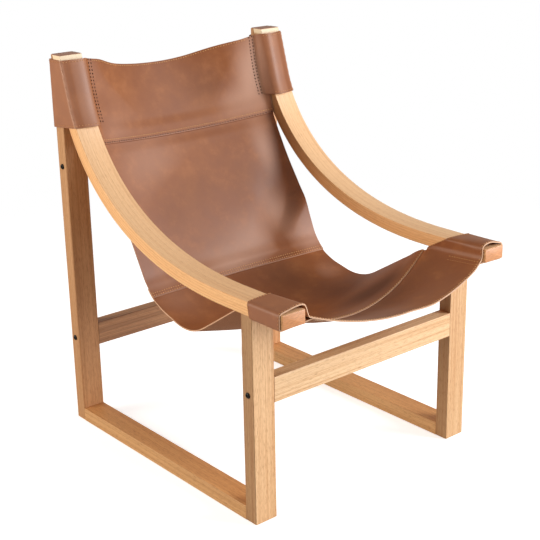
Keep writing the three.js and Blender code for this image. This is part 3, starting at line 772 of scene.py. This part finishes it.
class Sheet:
    # a leather piece as a grid of middle points with flat places, ready for meshing and for stitch rows
    def __init__(self, grid, flat, lift, keep, wearShadeSheen):
        self.flat = flat
        self.keep = keep
        self.wearShadeSheen = np.broadcast_to(wearShadeSheen, grid.shape[:2])
        self.normals = gridNormals(grid, keep)
        self.middle = grid + self.normals * lift[..., None]
        self.columns = flat[:, :, 0].mean(0)
        self.rows = flat[:, :, 1].mean(1)

    def surface(self, across, along, layer):
        # points and normals at flat places, on the grain side (1), the flesh side (-1) or between
        column = np.interp(across, self.columns, np.arange(len(self.columns)))
        row = np.interp(along, self.rows, np.arange(len(self.rows)))
        c = np.minimum(column.astype(int), len(self.columns) - 2)
        r = np.minimum(row.astype(int), len(self.rows) - 2)
        u, v = (column - c)[:, None], (row - r)[:, None]
        results = []
        for field in (self.middle, self.normals):
            top = field[r, c] * (1 - u) + field[r, c + 1] * u
            low = field[r + 1, c] * (1 - u) + field[r + 1, c + 1] * u
            results.append(top * (1 - v) + low * v)
        points, normals = results[0], unit(results[1])
        return points + normals * layer * slingSettings["thickness"] / 2, normals

    def width(self):
        # the flat width in metres
        return (self.columns[-1] - self.columns[0]) * 0.001

    def area(self):
        # the flat area of the kept cells in square metres
        cells = np.diff(self.flat[:, :, 0], axis=1)[:-1] * np.diff(self.flat[:, :, 1], axis=0)[:, :-1]
        return float((np.abs(cells) * self.keep).sum()) * 1e-6


def weld(mesh):
    # closes up the cells without area where two rows meet
    build = bmesh.new()
    build.from_mesh(mesh)
    bmesh.ops.remove_doubles(build, verts=build.verts, dist=1e-6)
    build.to_mesh(mesh)
    build.free()


def sheetFaces(keep):
    # faces of both sides and round the open edges, and the finish of each: grain 0, flesh 1 or cut edge 2
    rows, columns = keep.shape[0] + 1, keep.shape[1] + 1
    shift = rows * columns
    index = np.arange(shift).reshape(rows, columns)
    corners = np.stack([index[:-1, :-1], index[1:, :-1], index[1:, 1:], index[:-1, 1:]], -1)
    quads = corners[keep]
    faces = [quads, quads[:, ::-1] + shift]
    trimmed = np.nonzero(keep)[0] == rows - 2
    finish = [np.where(trimmed, 2, 0), np.ones(len(quads), int)]
    padded = np.pad(keep, 1)
    beyond = (padded[1:-1, :-2], padded[2:, 1:-1], padded[1:-1, 2:], padded[:-2, 1:-1])
    for turn, neighbour in enumerate(beyond):
        openCells = corners[keep & ~neighbour]
        first, second = openCells[:, turn], openCells[:, (turn + 1) % 4]
        faces.append(np.stack([second, first, first + shift, second + shift], -1))
        finish.append(np.full(len(first), 2))
    return np.concatenate(faces), np.concatenate(finish)


def meshSheet(name, sheet, edge):
    half = slingSettings["thickness"] / 2
    raised = np.full((len(sheet.middle), 1, 1), half)
    raised[-1] = half - slingSettings["bevel"]
    face = (sheet.middle + sheet.normals * raised).reshape(-1, 3)
    back = (sheet.middle - sheet.normals * half).reshape(-1, 3)
    faces, finish = sheetFaces(sheet.keep)
    used, faces = np.unique(faces, return_inverse=True)
    faces = faces.reshape(-1, 4)
    points = toMetres(np.concatenate([face, back])[used])
    mesh = bpy.data.meshes.new(name)
    mesh.from_pydata(points.tolist(), [], faces.tolist())
    flat = np.concatenate([sheet.flat.reshape(-1, 2)] * 2)[used] * 0.001
    layer = mesh.uv_layers.new(name="flat")
    layer.data.foreach_set("uv", flat[faces.ravel()].astype(np.float32).ravel())
    wearShadeSheen = mesh.attributes.new("wearShadeSheen", "FLOAT", "POINT")
    wearShadeSheen.data.foreach_set("value", np.concatenate([sheet.wearShadeSheen.reshape(-1)] * 2)[used].astype(np.float32))
    for material in (grainSide, fleshSide, edge):
        mesh.materials.append(material)
    mesh.polygons.foreach_set("material_index", finish.astype(np.int32))
    weld(mesh)
    mesh.shade_smooth()
    mesh.set_sharp_from_angle(angle=math.radians(slingSettings["sharpAngle"]))
    return addObject(name, mesh)


# Stitching: a row of points on a piece becomes a row of thread lengths

stitchSettings = {
    "thread": {"pitch": 0.0072, "length": 0.0043, "radius": 0.0009, "seed": 7},
    "shadedThread": {"pitch": 0.0082, "length": 0.0046, "radius": 0.0012, "seed": 11},
    "edgeThread": {"pitch": 0.0076, "length": 0.0042, "radius": 0.0009, "seed": 3},
    "raised": 0.4,
    "varied": (0.88, 1.06),
    "segments": 8,
    "rings": 6,
}


def stitchTree(s):
    # a node group that sets thread lengths, which vary a little, along a line of points
    tree = bpy.data.node_groups.new("stitching", "GeometryNodeTree")
    sockets = {"geometry": "Geometry", "pitch": "Float", "length": "Float", "radius": "Float",
               "seed": "Int", "finish": "Material"}
    for label, kind in sockets.items():
        tree.interface.new_socket(label, in_out="INPUT", socket_type=f"NodeSocket{kind}")
    tree.interface.new_socket("geometry", in_out="OUTPUT", socket_type="NodeSocketGeometry")
    given = tree.nodes.new("NodeGroupInput").outputs
    line, pitch, length, radius, seed, finish = (Wire(tree, given[label]) for label in sockets)
    add = Wire(tree).node
    curve = add("GeometryNodeMeshToCurve", {0: line})
    spaced = add("GeometryNodeResampleCurve", {"Curve": curve, "Length": pitch}, mode="LENGTH")
    ball = add("GeometryNodeMeshUVSphere", {"Segments": s["segments"], "Rings": s["rings"], "Radius": 1.0})
    size = add("ShaderNodeCombineXYZ", {0: length * 0.5, 1: radius, 2: radius})
    shaped = add("GeometryNodeTransform", {"Geometry": ball, "Scale": size})
    tangent = add("GeometryNodeInputTangent")
    facing = add("GeometryNodeInputNamedAttribute", {"Name": "facing"}, data_type="FLOAT_VECTOR")
    axes = {"primary_axis": "X", "secondary_axis": "Z"}
    turned = add("FunctionNodeAxesToRotation", {0: tangent, 1: facing}, **axes)
    least, most = s["varied"]
    scale = add("FunctionNodeRandomValue", {2: least, 3: most, "Seed": seed}, output=1, data_type="FLOAT")
    placing = {"Points": spaced, "Instance": shaped, "Rotation": turned, "Scale": scale}
    real = add("GeometryNodeRealizeInstances", {0: add("GeometryNodeInstanceOnPoints", placing)})
    rounded = add("GeometryNodeSetShadeSmooth", {0: real})
    finished = add("GeometryNodeSetMaterial", {"Geometry": rounded, "Material": finish})
    tree.links.new(finished.socket, tree.nodes.new("NodeGroupOutput").inputs[0])
    return tree


stitching = stitchTree(stitchSettings)


def stitchRows(name, sheet, rows, label):
    # each row is a list of flat places; the thread lies partly sunk in the grain side
    settings = stitchSettings[label]
    points, normals, edges = [], [], []
    for across, along in rows:
        across, along = np.broadcast_arrays(np.asarray(across, float), np.asarray(along, float))
        at, up = sheet.surface(across, along, 1)
        start = sum(len(p) for p in points)
        edges += [(start + i, start + i + 1) for i in range(len(at) - 1)]
        points.append(at + up * settings["radius"] * 1000 * stitchSettings["raised"])
        normals.append(up)
    mesh = bpy.data.meshes.new(name)
    mesh.from_pydata(toMetres(np.concatenate(points)).tolist(), edges, [])
    facing = mesh.attributes.new("facing", "FLOAT_VECTOR", "POINT")
    facing.data.foreach_set("vector", np.concatenate(normals).astype(np.float32).ravel())
    made = addObject(name, mesh)
    modifier = made.modifiers.new("stitching", "NODES")
    modifier.node_group = stitching
    values = {"finish": threadFinishes[label], **settings}
    for item in stitching.interface.items_tree:
        if item.in_out == "INPUT" and item.name in values:
            modifier[item.identifier] = values[item.name]
    graph = bpy.context.evaluated_depsgraph_get()
    plain = bpy.data.meshes.new_from_object(made.evaluated_get(graph))
    made.modifiers.clear()
    made.data = plain
    return made


def acrossRow(low, high, along, count=160):
    return np.linspace(low, high, count), along


def alongRow(across, low, high, count=120):
    return across, np.linspace(low, high, count)


def addLeather(name, node, sheet, rows, flatSize, edge, area=None):
    piece = meshSheet(name, sheet, edge)
    threads = [stitchRows(f"{name}_{label}", sheet, places, label) for label, places in rows.items()]
    for made in (piece, *threads):
        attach(made, "root")
    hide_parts(node)
    print("stage:", name, "built, flat size", [round(v, 4) for v in flatSize])


# Back panel and seat panel

backSettings = {
    "crease": {
        "along": (0, 60, 160, 245, 300, 328),
        "bottom": (280, 277, 263, 235, 182, 154),
        "crest": (304, 304, 302, 292, 240, 210),
        "depth": (0, 0, 5, 17, 10, 0),
        "rise": (0, 9, 24, 15, 7, 0),
        "approach": (170, 180, 180, 130, 100, 90),
    },
    "rows": {"thread": (5, 12)},
    # painted sheen where below 0, and painted shade with wear where above 0, in the back's flat places
    "wearShadeSheenPatches": [
        ((90, 335), (90, 70), -0.42),
        ((-25, 368), (75, 42), -0.52),
        ((250, 360), (45, 60), -0.36),
        ((198, 258), (46, 55), -0.6),
        ((224, 90), (30, 75), -0.5),
        ((-110, 60), (85, 65), -0.28),
        ((-200, 80), (70, 80), -0.15),
        ((-230, 380), (60, 40), -0.2),
        ((-40, 140), (90, 70), 0.2),
        ((140, 145), (65, 60), 0.2),
        ((-125, 208), (50, 50), 0.14),
        ((165, 345), (26, 40), 0.34),
        ((140, 390), (50, 22), 0.34),
        ((0, 368), (260, 5), -0.16),
    ],
}
seatSettings = {
    "rows": {"thread": (2.8,)},
    "leftSag": (5, 8),
    # painted shade with wear where above 0, and painted sheen where below 0, in the seat's flat places
    "wearShadeSheenPatches": [
        ((110, 45), (75, 60), 0.55),
        ((190, 185), (80, 60), 0.5),
        ((135, 320), (75, 75), 0.95),
        ((200, 350), (50, 50), 0.5),
        ((225, 80), (40, 40), -0.25),
        ((-220, 20), (60, 60), -0.2),
    ],
}


def panelSheet(start, end, settings):
    length = sideCuts[end] - sideCuts[start]
    along = rowPlaces(-slingSettings["lap"], length, slingSettings["trim"])
    grid = slingRows(start, end, along)
    flat = np.stack(np.broadcast_arrays(acrossPlaces[None, :], along[:, None]), -1).astype(float)
    lift = -lapLift(along + slingSettings["lap"]) + lapLift(length - along)
    lift = np.broadcast_to(lift[:, None], grid.shape[:2])
    if "leftSag" in settings:
        # the left edge hangs back and down between the seams
        share = np.sin(math.pi * np.clip(along / length, 0, 1)) ** 2
        hang = share[:, None] * np.clip(-acrossPlaces / slingHalf, 0, 1) ** 2
        grid[:, :, 1:] += hang[..., None] * np.array(settings["leftSag"]) * (1, -1)
    if "crease" in settings:
        lift = lift + creaseHeight(flat[:, :, 0], flat[:, :, 1], settings["crease"])
    wearShadeSheen = wearShadeSheenBy(flat[:, :, 0], flat[:, :, 1], settings["wearShadeSheenPatches"])
    keep = wholeSheet(along)
    return Sheet(grid, flat, lift, keep, wearShadeSheen), length


def addPanel(name, node, start, end, settings, edge):
    sheet, length = panelSheet(start, end, settings)
    rows = {}
    for label, places in settings["rows"].items():
        rows[label] = [acrossRow(-rowEnd, rowEnd, length - place) for place in places]
    size = (2 * slingHalf * 0.001, (length + slingSettings["lap"]) * 0.001)
    addLeather(name, node, sheet, rows, size, edge)


addPanel("leather_back", "back_panel", "head", "back", backSettings, sewnEdge)
addPanel("leather_seat", "seat_panel", "back", "seat", seatSettings, rawEdge)


# Wraps: the head panel's sleeves and the front band's loops

def evenPoints(path, count):
    # an even count of points along a path, and their lengths from its start
    lengths = lengthsOf(path)
    even = np.linspace(0, lengths[-1], count + 1)[1:]
    return atLength((path, lengths), even), even


def sewnDown(row, normals, settings):
    # points behind a row's right side, where a flap is sewn down
    x = row[-1, 0] - np.linspace(settings["sewnFrom"], settings["sewnTo"], settings["sewnSteps"])
    places, facings = (
        np.stack([np.interp(x, row[:, 0], field[:, i]) for i in range(3)], -1) for field in (row, normals)
    )
    return places - unit(facings) * (slingSettings["thickness"] + slingSettings["lapGap"])


def wrappedSheet(main, along, lift, left, right, keep, wrapRows, wearShadeSheenMain):
    # joins the wraps, each with its points, lengths and its wear with painted shade and sheen, to the main
    # rows; the left one is mirrored
    grid = np.concatenate([left[0][:, ::-1] * mirror, main, right[0]], 1)
    places = np.broadcast_to(acrossPlaces, main.shape[:2])
    across = np.concatenate([-slingHalf - left[1][:, ::-1], places, slingHalf + right[1]], 1)
    flat = np.stack(np.broadcast_arrays(across, along[:, None]), -1)
    count = left[0].shape[1]
    wrapped = np.broadcast_to(wrapRows[:, None], (len(along) - 1, count))
    padding = np.zeros((len(along), count))
    kept = np.concatenate([wrapped, keep, wrapped], 1)
    wearShadeSheen = np.concatenate([left[2][:, ::-1], wearShadeSheenMain, right[2]], 1)
    return Sheet(grid, flat, np.concatenate([padding, lift, padding], 1), kept, wearShadeSheen)


headSettings = {
    "walls": {"left": 259, "right": 266},
    "dip": {"along": (0, 50, 110, 165, 195), "depth": (11, 16, 15, 6, 0), "from": (226, 190, 140, 105, 95)},
    "wallPower": 0.75,
    "fallPower": 1.5,
    "forwardPower": 0.8,
    "innerOff": 4,
    "pulls": {"left": ((11, -11, 0), (-26, -4, 0)), "right": ((11, -13, 0), (-42, -13, 0))},
    "frontOff": 2.1,
    "sideOff": 2.1,
    "rearDrop": 9,
    "sideDrop": 14,
    "cornerRuns": (7, 7, 4, 2),
    "sewnFrom": 18,
    "sewnTo": 44,
    "wrapCount": 120,
    # painted highlight along the sleeve's outer ridge and painted shade in the hollow before it, with their
    # widths and offset
    "ridgeHighlight": 0.36,
    "ridgeWidth": 3.4,
    "hollow": 0.28,
    "hollowOff": 14,
    "hollowWidth": 9,
    "seamInsets": (6, 14),
    "lowRows": {"shadedThread": 4, "thread": 11},
    "edgeRow": 5,
    "topRowEnd": 238,
    "sleeveRun": (4, 215),
    "sleeveSteps": 200,
    "seamEnd": 3,
    "frontSteps": 40,
    "sewnSteps": 3,
    "waves": [(-213, 40, 6.5), (165, 80, 7)],
    "waveFade": 80,
    # painted sheen over the whole sleeve
    "paintedSheen": 0.16,
    # painted sheen where below 0, strongest beside the right seam, and painted shade with wear where above 0
    "wearShadeSheenPatches": [
        ((238, 90), (34, 95), -0.66),
        ((257, 80), (13, 100), -0.4),
        ((185, 155), (55, 45), -0.4),
        ((120, 100), (55, 60), 0.28),
        ((-215, 175), (50, 40), -0.2),
    ],
}


def headSheet():
    s = headSettings
    length = slingSettings["headLength"]
    sleeve = slingSettings["sleeveHeight"]
    sleeveRows = rowPlaces(0, sleeve)
    along = np.concatenate([sleeveRows, rowPlaces(sleeve, length, slingSettings["trim"])])
    inSleeve = np.arange(len(along)) < len(sleeveRows)
    main = slingRows("top", "head", along)
    # outside the seams the leather comes forward to the arm, which leaves a valley beside each sleeve
    off = np.abs(acrossPlaces)[None, :]
    wall = bySide(s["walls"])
    past = np.clip((off - wall) / (slingHalf - wall), 0, 1)
    deep, dipFrom = (between(along, s["dip"]["along"], s["dip"][key])[:, None] for key in ("depth", "from"))
    approach = np.clip((off - dipFrom) / (wall - dipFrom), 0, 1)
    valley = np.where(past > 0, 1 - past ** s["wallPower"], approach ** s["fallPower"])
    forward = inSleeve * (main[:, -1, 1] - armFaceDepth(main[:, -1, 2]) + s["innerOff"])
    main[:, :, 1] += deep * valley - forward[:, None] * past ** s["forwardPower"]
    # the top edge stands up in low waves
    fade = 1 - smooth(along, 0, s["waveFade"])[:, None]
    for place, width, height in s["waves"]:
        main[:, :, 2] += fade * height * np.exp(-(((acrossPlaces - place) / width) ** 2))
    # a slit under each sleeve, from the side edge to the seam
    keep = wholeSheet(along)
    keep[len(sleeveRows) - 1] = (past[0, :-1] == 0) & (past[0, 1:] == 0)
    normals = gridNormals(main, keep)
    left, right = (headWraps(along, main, normals, length, *s["pulls"][name]) for name in ("left", "right"))
    lift = np.broadcast_to(lapLift(length - along)[:, None], main.shape[:2])
    wearShadeSheen = wearShadeSheenBy(acrossPlaces[None, :], along[:, None], s["wearShadeSheenPatches"])
    wrapRows = along[:-1] < sleeve - slingSettings["slack"]
    return wrappedSheet(main, along, lift, left, right, keep, wrapRows, wearShadeSheen), length


def headWraps(along, main, normals, length, innerPull, outerPull):
    # the sleeve round post and arm for each row, from the panel's edge to where it is sewn down behind
    s = headSettings
    outer = innerHalf + armWidth + s["sideOff"]
    rear = frameDepth + sheetOff
    wraps, lengths, ridgeLight = [], [], []
    for place, row, normal in zip(along, main, normals):
        edge = row[-1]
        face = edge[1] + s["innerOff"]
        pinched = np.array([outer, face - s["frontOff"], edge[2]])
        outerTop = edge[2] - s["sideDrop"] * place / length
        rearTop = outerTop - s["rearDrop"] * (1 - place / length)
        sewn = sewnDown(row, normal, s)
        front, _ = bezier([edge, edge + innerPull, pinched + outerPull, pinched], s["frontSteps"])
        corners = [
            pinched,
            (outer, rear, outerTop),
            (innerHalf - sheetOff, rear, rearTop),
            *(point - (0, 0, edge[2] - rearTop) for point in sewn),
        ]
        behindPost, _ = roundedLine(corners, s["cornerRuns"])
        path, run = evenPoints(np.concatenate([front, behindPost[1:]]), s["wrapCount"])
        wraps.append(path)
        lengths.append(run)
        ridgeLight.append(ridgeHighlightAndShade(run - lengthsOf(front)[-1]))
    return np.array(wraps), np.array(lengths), np.array(ridgeLight)


def ridgeHighlightAndShade(past):
    # by the distance past the outer ridge: a painted highlight along it, painted shade in the hollow before
    # it, and painted sheen over the whole sleeve
    s = headSettings
    pale = s["ridgeHighlight"] * np.exp(-((past / s["ridgeWidth"]) ** 2))
    dark = s["hollow"] * np.exp(-(((past + s["hollowOff"]) / s["hollowWidth"]) ** 2))
    return dark - pale - s["paintedSheen"]


def addHead():
    s = headSettings
    sheet, length = headSheet()
    sleeve = slingSettings["sleeveHeight"]
    rows = {"edgeThread": []}
    for label, place in s["lowRows"].items():
        rows[label] = [acrossRow(-rowEnd, rowEnd, length - place)]
    rows["thread"].append(acrossRow(-s["topRowEnd"], s["topRowEnd"], s["edgeRow"]))
    wrapFrom, wrapTo = (slingHalf + value for value in s["sleeveRun"])
    for side, sideName in ((-1, "left"), (1, "right")):
        # seam rows beside the sleeves, in the darkened thread that paints shade
        for inset in s["seamInsets"]:
            across = side * (s["walls"][sideName] - inset)
            rows["shadedThread"].append(alongRow(across, s["seamEnd"], sleeve - s["seamEnd"]))
        for along in (s["edgeRow"], sleeve - s["edgeRow"]):
            rows["edgeThread"].append(acrossRow(side * wrapFrom, side * wrapTo, along, s["sleeveSteps"]))
    size = (sheet.width(), length * 0.001)
    addLeather("leather_head", "head_panel", sheet, rows, size, dyedEdge, sheet.area())


addHead()

bandSettings = {
    "halves": {"left": 263, "right": 272},
    "rearFrom": 76,
    "rears": (72, 11, 6, -1.5, -1.5),
    "underBack": 6,
    "standOffs": {"left": (13, 4), "right": (4.5, 5)},
    "baseRise": {"left": 6, "right": 9},
    "arches": {"left": (0.5, 8, 1, 7), "right": (1, 7, 1, 12)},
    "archMiddle": 303,
    "sideOff": 3.6,
    "outerDrop": 0.4,
    "cornerRuns": (9, 17, 14, 8, 7, 7, 3, 2),
    "sewnFrom": 10,
    "sewnTo": 36,
    "sewnSteps": 3,
    "wrapCount": 84,
    "droops": {"left": 0, "right": 8.5},
    "droopFrom": 0,
    "droopTo": 100,
    "droopRun": 80,
    "drawRun": 20,
    "rise": 238,
    "risePower": 2.0,
    "seamRows": {"thread": 271, "edgeThread": 263},
    "seamRun": (92, 8),
    "edgeRow": 5,
    "loopRun": (12, 150),
    # painted sheen over the whole loop, on each side
    "paintedSheen": {"left": 0.12, "right": 0.0},
    # painted shade with wear beside the seat seam
    "wearShadeSheenPatches": [((-60, 20), (120, 60), 0.4), ((110, 20), (120, 60), 0.6)],
}


def rowBetween(rows, place):
    first = min(int(place), len(rows) - 2)
    return rows[first] + (rows[first + 1] - rows[first]) * (place - first)


def bandSheet():
    s = bandSettings
    length = slingSettings["bandLength"]
    front = sideFront[0]
    loop = s["rearFrom"] - front
    loopRows = rowPlaces(length - loop, length, slingSettings["trim"])
    along = np.concatenate([rowPlaces(-slingSettings["lap"], length - loop)[:-1], loopRows])
    inLoop = along > length - loop - slingSettings["slack"]
    main = slingRows("seat", "front", along)
    # the sides draw in towards the loops, droop, then turn up steeply
    drawn = np.where(inLoop, 1, 1 - smooth(length - loop - along, 0, s["drawRun"]))[:, None]
    main[:, :, 0] *= 1 + drawn * (bySide(s["halves"]) / slingHalf - 1)
    off = np.abs(acrossPlaces)
    turned = np.clip((off - s["rise"]) / (slingHalf - s["rise"]), 0, 1)
    droop = np.where(turned > 0, 1 - turned ** s["risePower"], smooth(off, s["droopFrom"], s["droopTo"]))
    main[:, :, 2] -= bySide(s["droops"]) * smooth(along, 0, s["droopRun"])[:, None] * droop
    keep = wholeSheet(along)
    normals = gridNormals(main, keep)
    lift = np.broadcast_to(-lapLift(along + slingSettings["lap"])[:, None], main.shape[:2])
    left = bandWraps(along, main[:, ::-1] * mirror, normals[:, ::-1] * mirror, length, loop, "left")
    right = bandWraps(along, main, normals, length, loop, "right")
    wearShadeSheen = wearShadeSheenBy(acrossPlaces[None, :], along[:, None], s["wearShadeSheenPatches"])
    return wrappedSheet(main, along, lift, left, right, keep, inLoop[:-1], wearShadeSheen), length, loop


def bandWraps(along, main, normals, length, loop, sideName):
    # the loop round the arm for each row, from the band's edge over and under it, to where it is sewn down
    s = bandSettings
    front = sideFront[0]
    outer = innerHalf + armWidth + s["sideOff"]
    innerBase, innerTop = (innerHalf - value for value in s["standOffs"][sideName])
    over = armTop + sheetOff
    under = legHeight - sheetOff
    rearShoulder, frontShoulder, rearTop, frontTop = s["arches"][sideName]
    wraps, lengths = [], []
    for place, row in zip(along, main):
        edge = row[-1]
        share = np.clip((place - length + loop) / loop, 0, 1)
        fronts = np.array([front] * 4 + [front + s["underBack"]])
        depths = np.array(s["rears"]) * (1 - share) + fronts * share
        shoulder = rearShoulder + (frontShoulder - rearShoulder) * share
        top = rearTop + (frontTop - rearTop) * share
        above = np.interp(-depths[4], -main[:, -1, 1], np.arange(len(main)))
        sewn = sewnDown(rowBetween(main, above), rowBetween(normals, above), s)
        corners = [
            edge,
            (innerBase, depths[0], edge[2] + s["baseRise"][sideName]),
            (innerTop, depths[1], over + shoulder),
            (s["archMiddle"], (depths[1] + depths[2]) / 2, over + top),
            (outer, depths[2], over - s["outerDrop"]),
            (outer, depths[3], under),
            (innerHalf - sheetOff, depths[4], under),
            *sewn,
        ]
        path, run = evenPoints(roundedLine(corners, s["cornerRuns"])[0], s["wrapCount"])
        wraps.append(path)
        lengths.append(run)
    # painted sheen over the whole loop
    pale = np.full((len(along), s["wrapCount"]), -s["paintedSheen"][sideName])
    return np.array(wraps), np.array(lengths), pale


def addBand():
    s = bandSettings
    sheet, length, loop = bandSheet()
    seamFrom, seamTo = (length - value for value in s["seamRun"])
    loopFrom, loopTo = (slingHalf + value for value in s["loopRun"])
    rows = {"thread": [acrossRow(-slingHalf, slingHalf, length - s["edgeRow"])], "edgeThread": []}
    for side in (-1, 1):
        for label, place in s["seamRows"].items():
            rows[label].append(alongRow(side * place, seamFrom, seamTo))
        for along in (length - loop + s["edgeRow"], length - s["edgeRow"]):
            rows["edgeThread"].append(acrossRow(side * loopFrom, side * loopTo, along))
    size = (sheet.width(), (length + slingSettings["lap"]) * 0.001)
    addLeather("leather_band", "front_band", sheet, rows, size, rawEdge, sheet.area())


addBand()


# Camera, floor and light

cameraSettings = {
    "place": (-1801.79, -1817.78, 1404.72),
    "azimuth": -39.804,
    "elevation": 19.069,
    "roll": -1.066,
    "lens": 80.302,
    "film": 36,
    "farEnd": 60,
}


def addCamera(s):
    data = bpy.data.cameras.new("camera")
    data.sensor_width = s["film"]
    data.lens = s["lens"]
    data.clip_end = s["farEnd"]
    camera = addObject("camera", data)
    turn, lift, roll = (math.radians(s[key]) for key in ("azimuth", "elevation", "roll"))
    away = Vector((math.sin(turn) * math.cos(lift), -math.cos(turn) * math.cos(lift), math.sin(lift)))
    right = (-away).cross(Vector((0, 0, 1))).normalized()
    up = right.cross(-away)
    rolledRight = math.cos(roll) * right + math.sin(roll) * up
    rolledUp = math.cos(roll) * up - math.sin(roll) * right
    matrix = Matrix((rolledRight, rolledUp, away)).transposed().to_4x4()
    matrix.translation = Vector(toMetres(s["place"]))
    camera.matrix_world = matrix
    bpy.context.scene.camera = camera


addCamera(cameraSettings)

lightSettings = {
    "key": {"place": (2.5, -3.0, 2.5), "size": 2.2, "power": 92, "colour": (0.99, 1.0, 1.01)},
    "front": {"place": (2.5, -3.1, 0.8), "size": 2.0, "power": 112, "colour": (0.99, 1.0, 1.01)},
    "left": {"place": (-3.3, 1.4, 1.5), "size": 2.0, "power": 88, "colour": (1.0, 0.9, 0.77)},
    "world": 0.3,
    "mirrored": 0.3,
    "warm": (1.0, 0.9, 0.76, 1.0),
    "aim": (0, 0, 0.45),
}


def addLight(name, s):
    data = bpy.data.lights.new(name, "AREA")
    data.shape = "DISK"
    data.size = s["size"]
    data.energy = s["power"]
    data.color = s["colour"]
    light = addObject(name, data)
    light.location = s["place"]
    light.rotation_euler = (Vector(lightSettings["aim"]) - light.location).to_track_quat("-Z", "Y").to_euler()


for name in ("key", "front", "left"):
    addLight(name, lightSettings[name])

world = bpy.data.worlds.new("studio")
bpy.context.scene.world = world
world.use_nodes = True
sky = Wire(world.node_tree)
camera = sky.node("ShaderNodeLightPath", output="Is Camera Ray")
glossy = sky.node("ShaderNodeLightPath", output="Is Glossy Ray")
seen = camera.larger(glossy * lightSettings["mirrored"])
strength = lightSettings["world"] + seen * (1.0 - lightSettings["world"])
background = world.node_tree.nodes["Background"]
plug(seen.blend(lightSettings["warm"], (1, 1, 1, 1)), background, "Color")
plug(strength, background, "Strength")

floorSettings = {
    "size": 6.0,
    "fadeFrom": 1.1,
    "fadeTo": 2.4,
    "white": (0.87, 0.9, 0.96),
    "bounce": 0.75,
    "lift": 0.62,
    "roughness": 0.9,
    "drop": 0.0006,
}


def floorMaterial(s):
    # white to the camera, darker in its bounce, and fading into the white surroundings
    material, start, shader = newMaterial("floor_white", s["roughness"])
    shader.inputs["Specular IOR Level"].default_value = 0
    shader.inputs["Emission Strength"].default_value = 1
    seen = start.node("ShaderNodeLightPath", output="Is Camera Ray")
    shades = {i: s["bounce"] + seen * (white - s["bounce"]) for i, white in enumerate(s["white"])}
    plug(start.node("ShaderNodeCombineXYZ", shades), shader, "Base Color")
    glow = seen * s["lift"]
    plug(start.node("ShaderNodeCombineXYZ", {0: glow, 1: glow, 2: glow}), shader, "Emission Color")
    coords = start.node("ShaderNodeTexCoord", output="Object")
    away = start.node("ShaderNodeVectorMath", {0: coords}, output="Value", operation="LENGTH")
    clear = start.node("ShaderNodeBsdfTransparent")
    solid = Wire(start.tree, shader.outputs[0])
    mixed = start.node("ShaderNodeMixShader", {0: away.step(s["fadeFrom"], s["fadeTo"]), 1: solid, 2: clear})
    start.tree.links.new(mixed.socket, start.tree.nodes["Material Output"].inputs["Surface"])
    return material


floorMesh = bpy.data.meshes.new("floor")
reach = floorSettings["size"]
corners = [(x * reach, y * reach, -floorSettings["drop"]) for x, y in ((-1, -1), (1, -1), (1, 1), (-1, 1))]
floorMesh.from_pydata(corners, [], [(0, 1, 2, 3)])
floorMesh.materials.append(floorMaterial(floorSettings))
floor = addObject("floor", floorMesh)

bpy.context.scene.view_settings.view_transform = "Standard"
print("stage: camera, floor and light set")
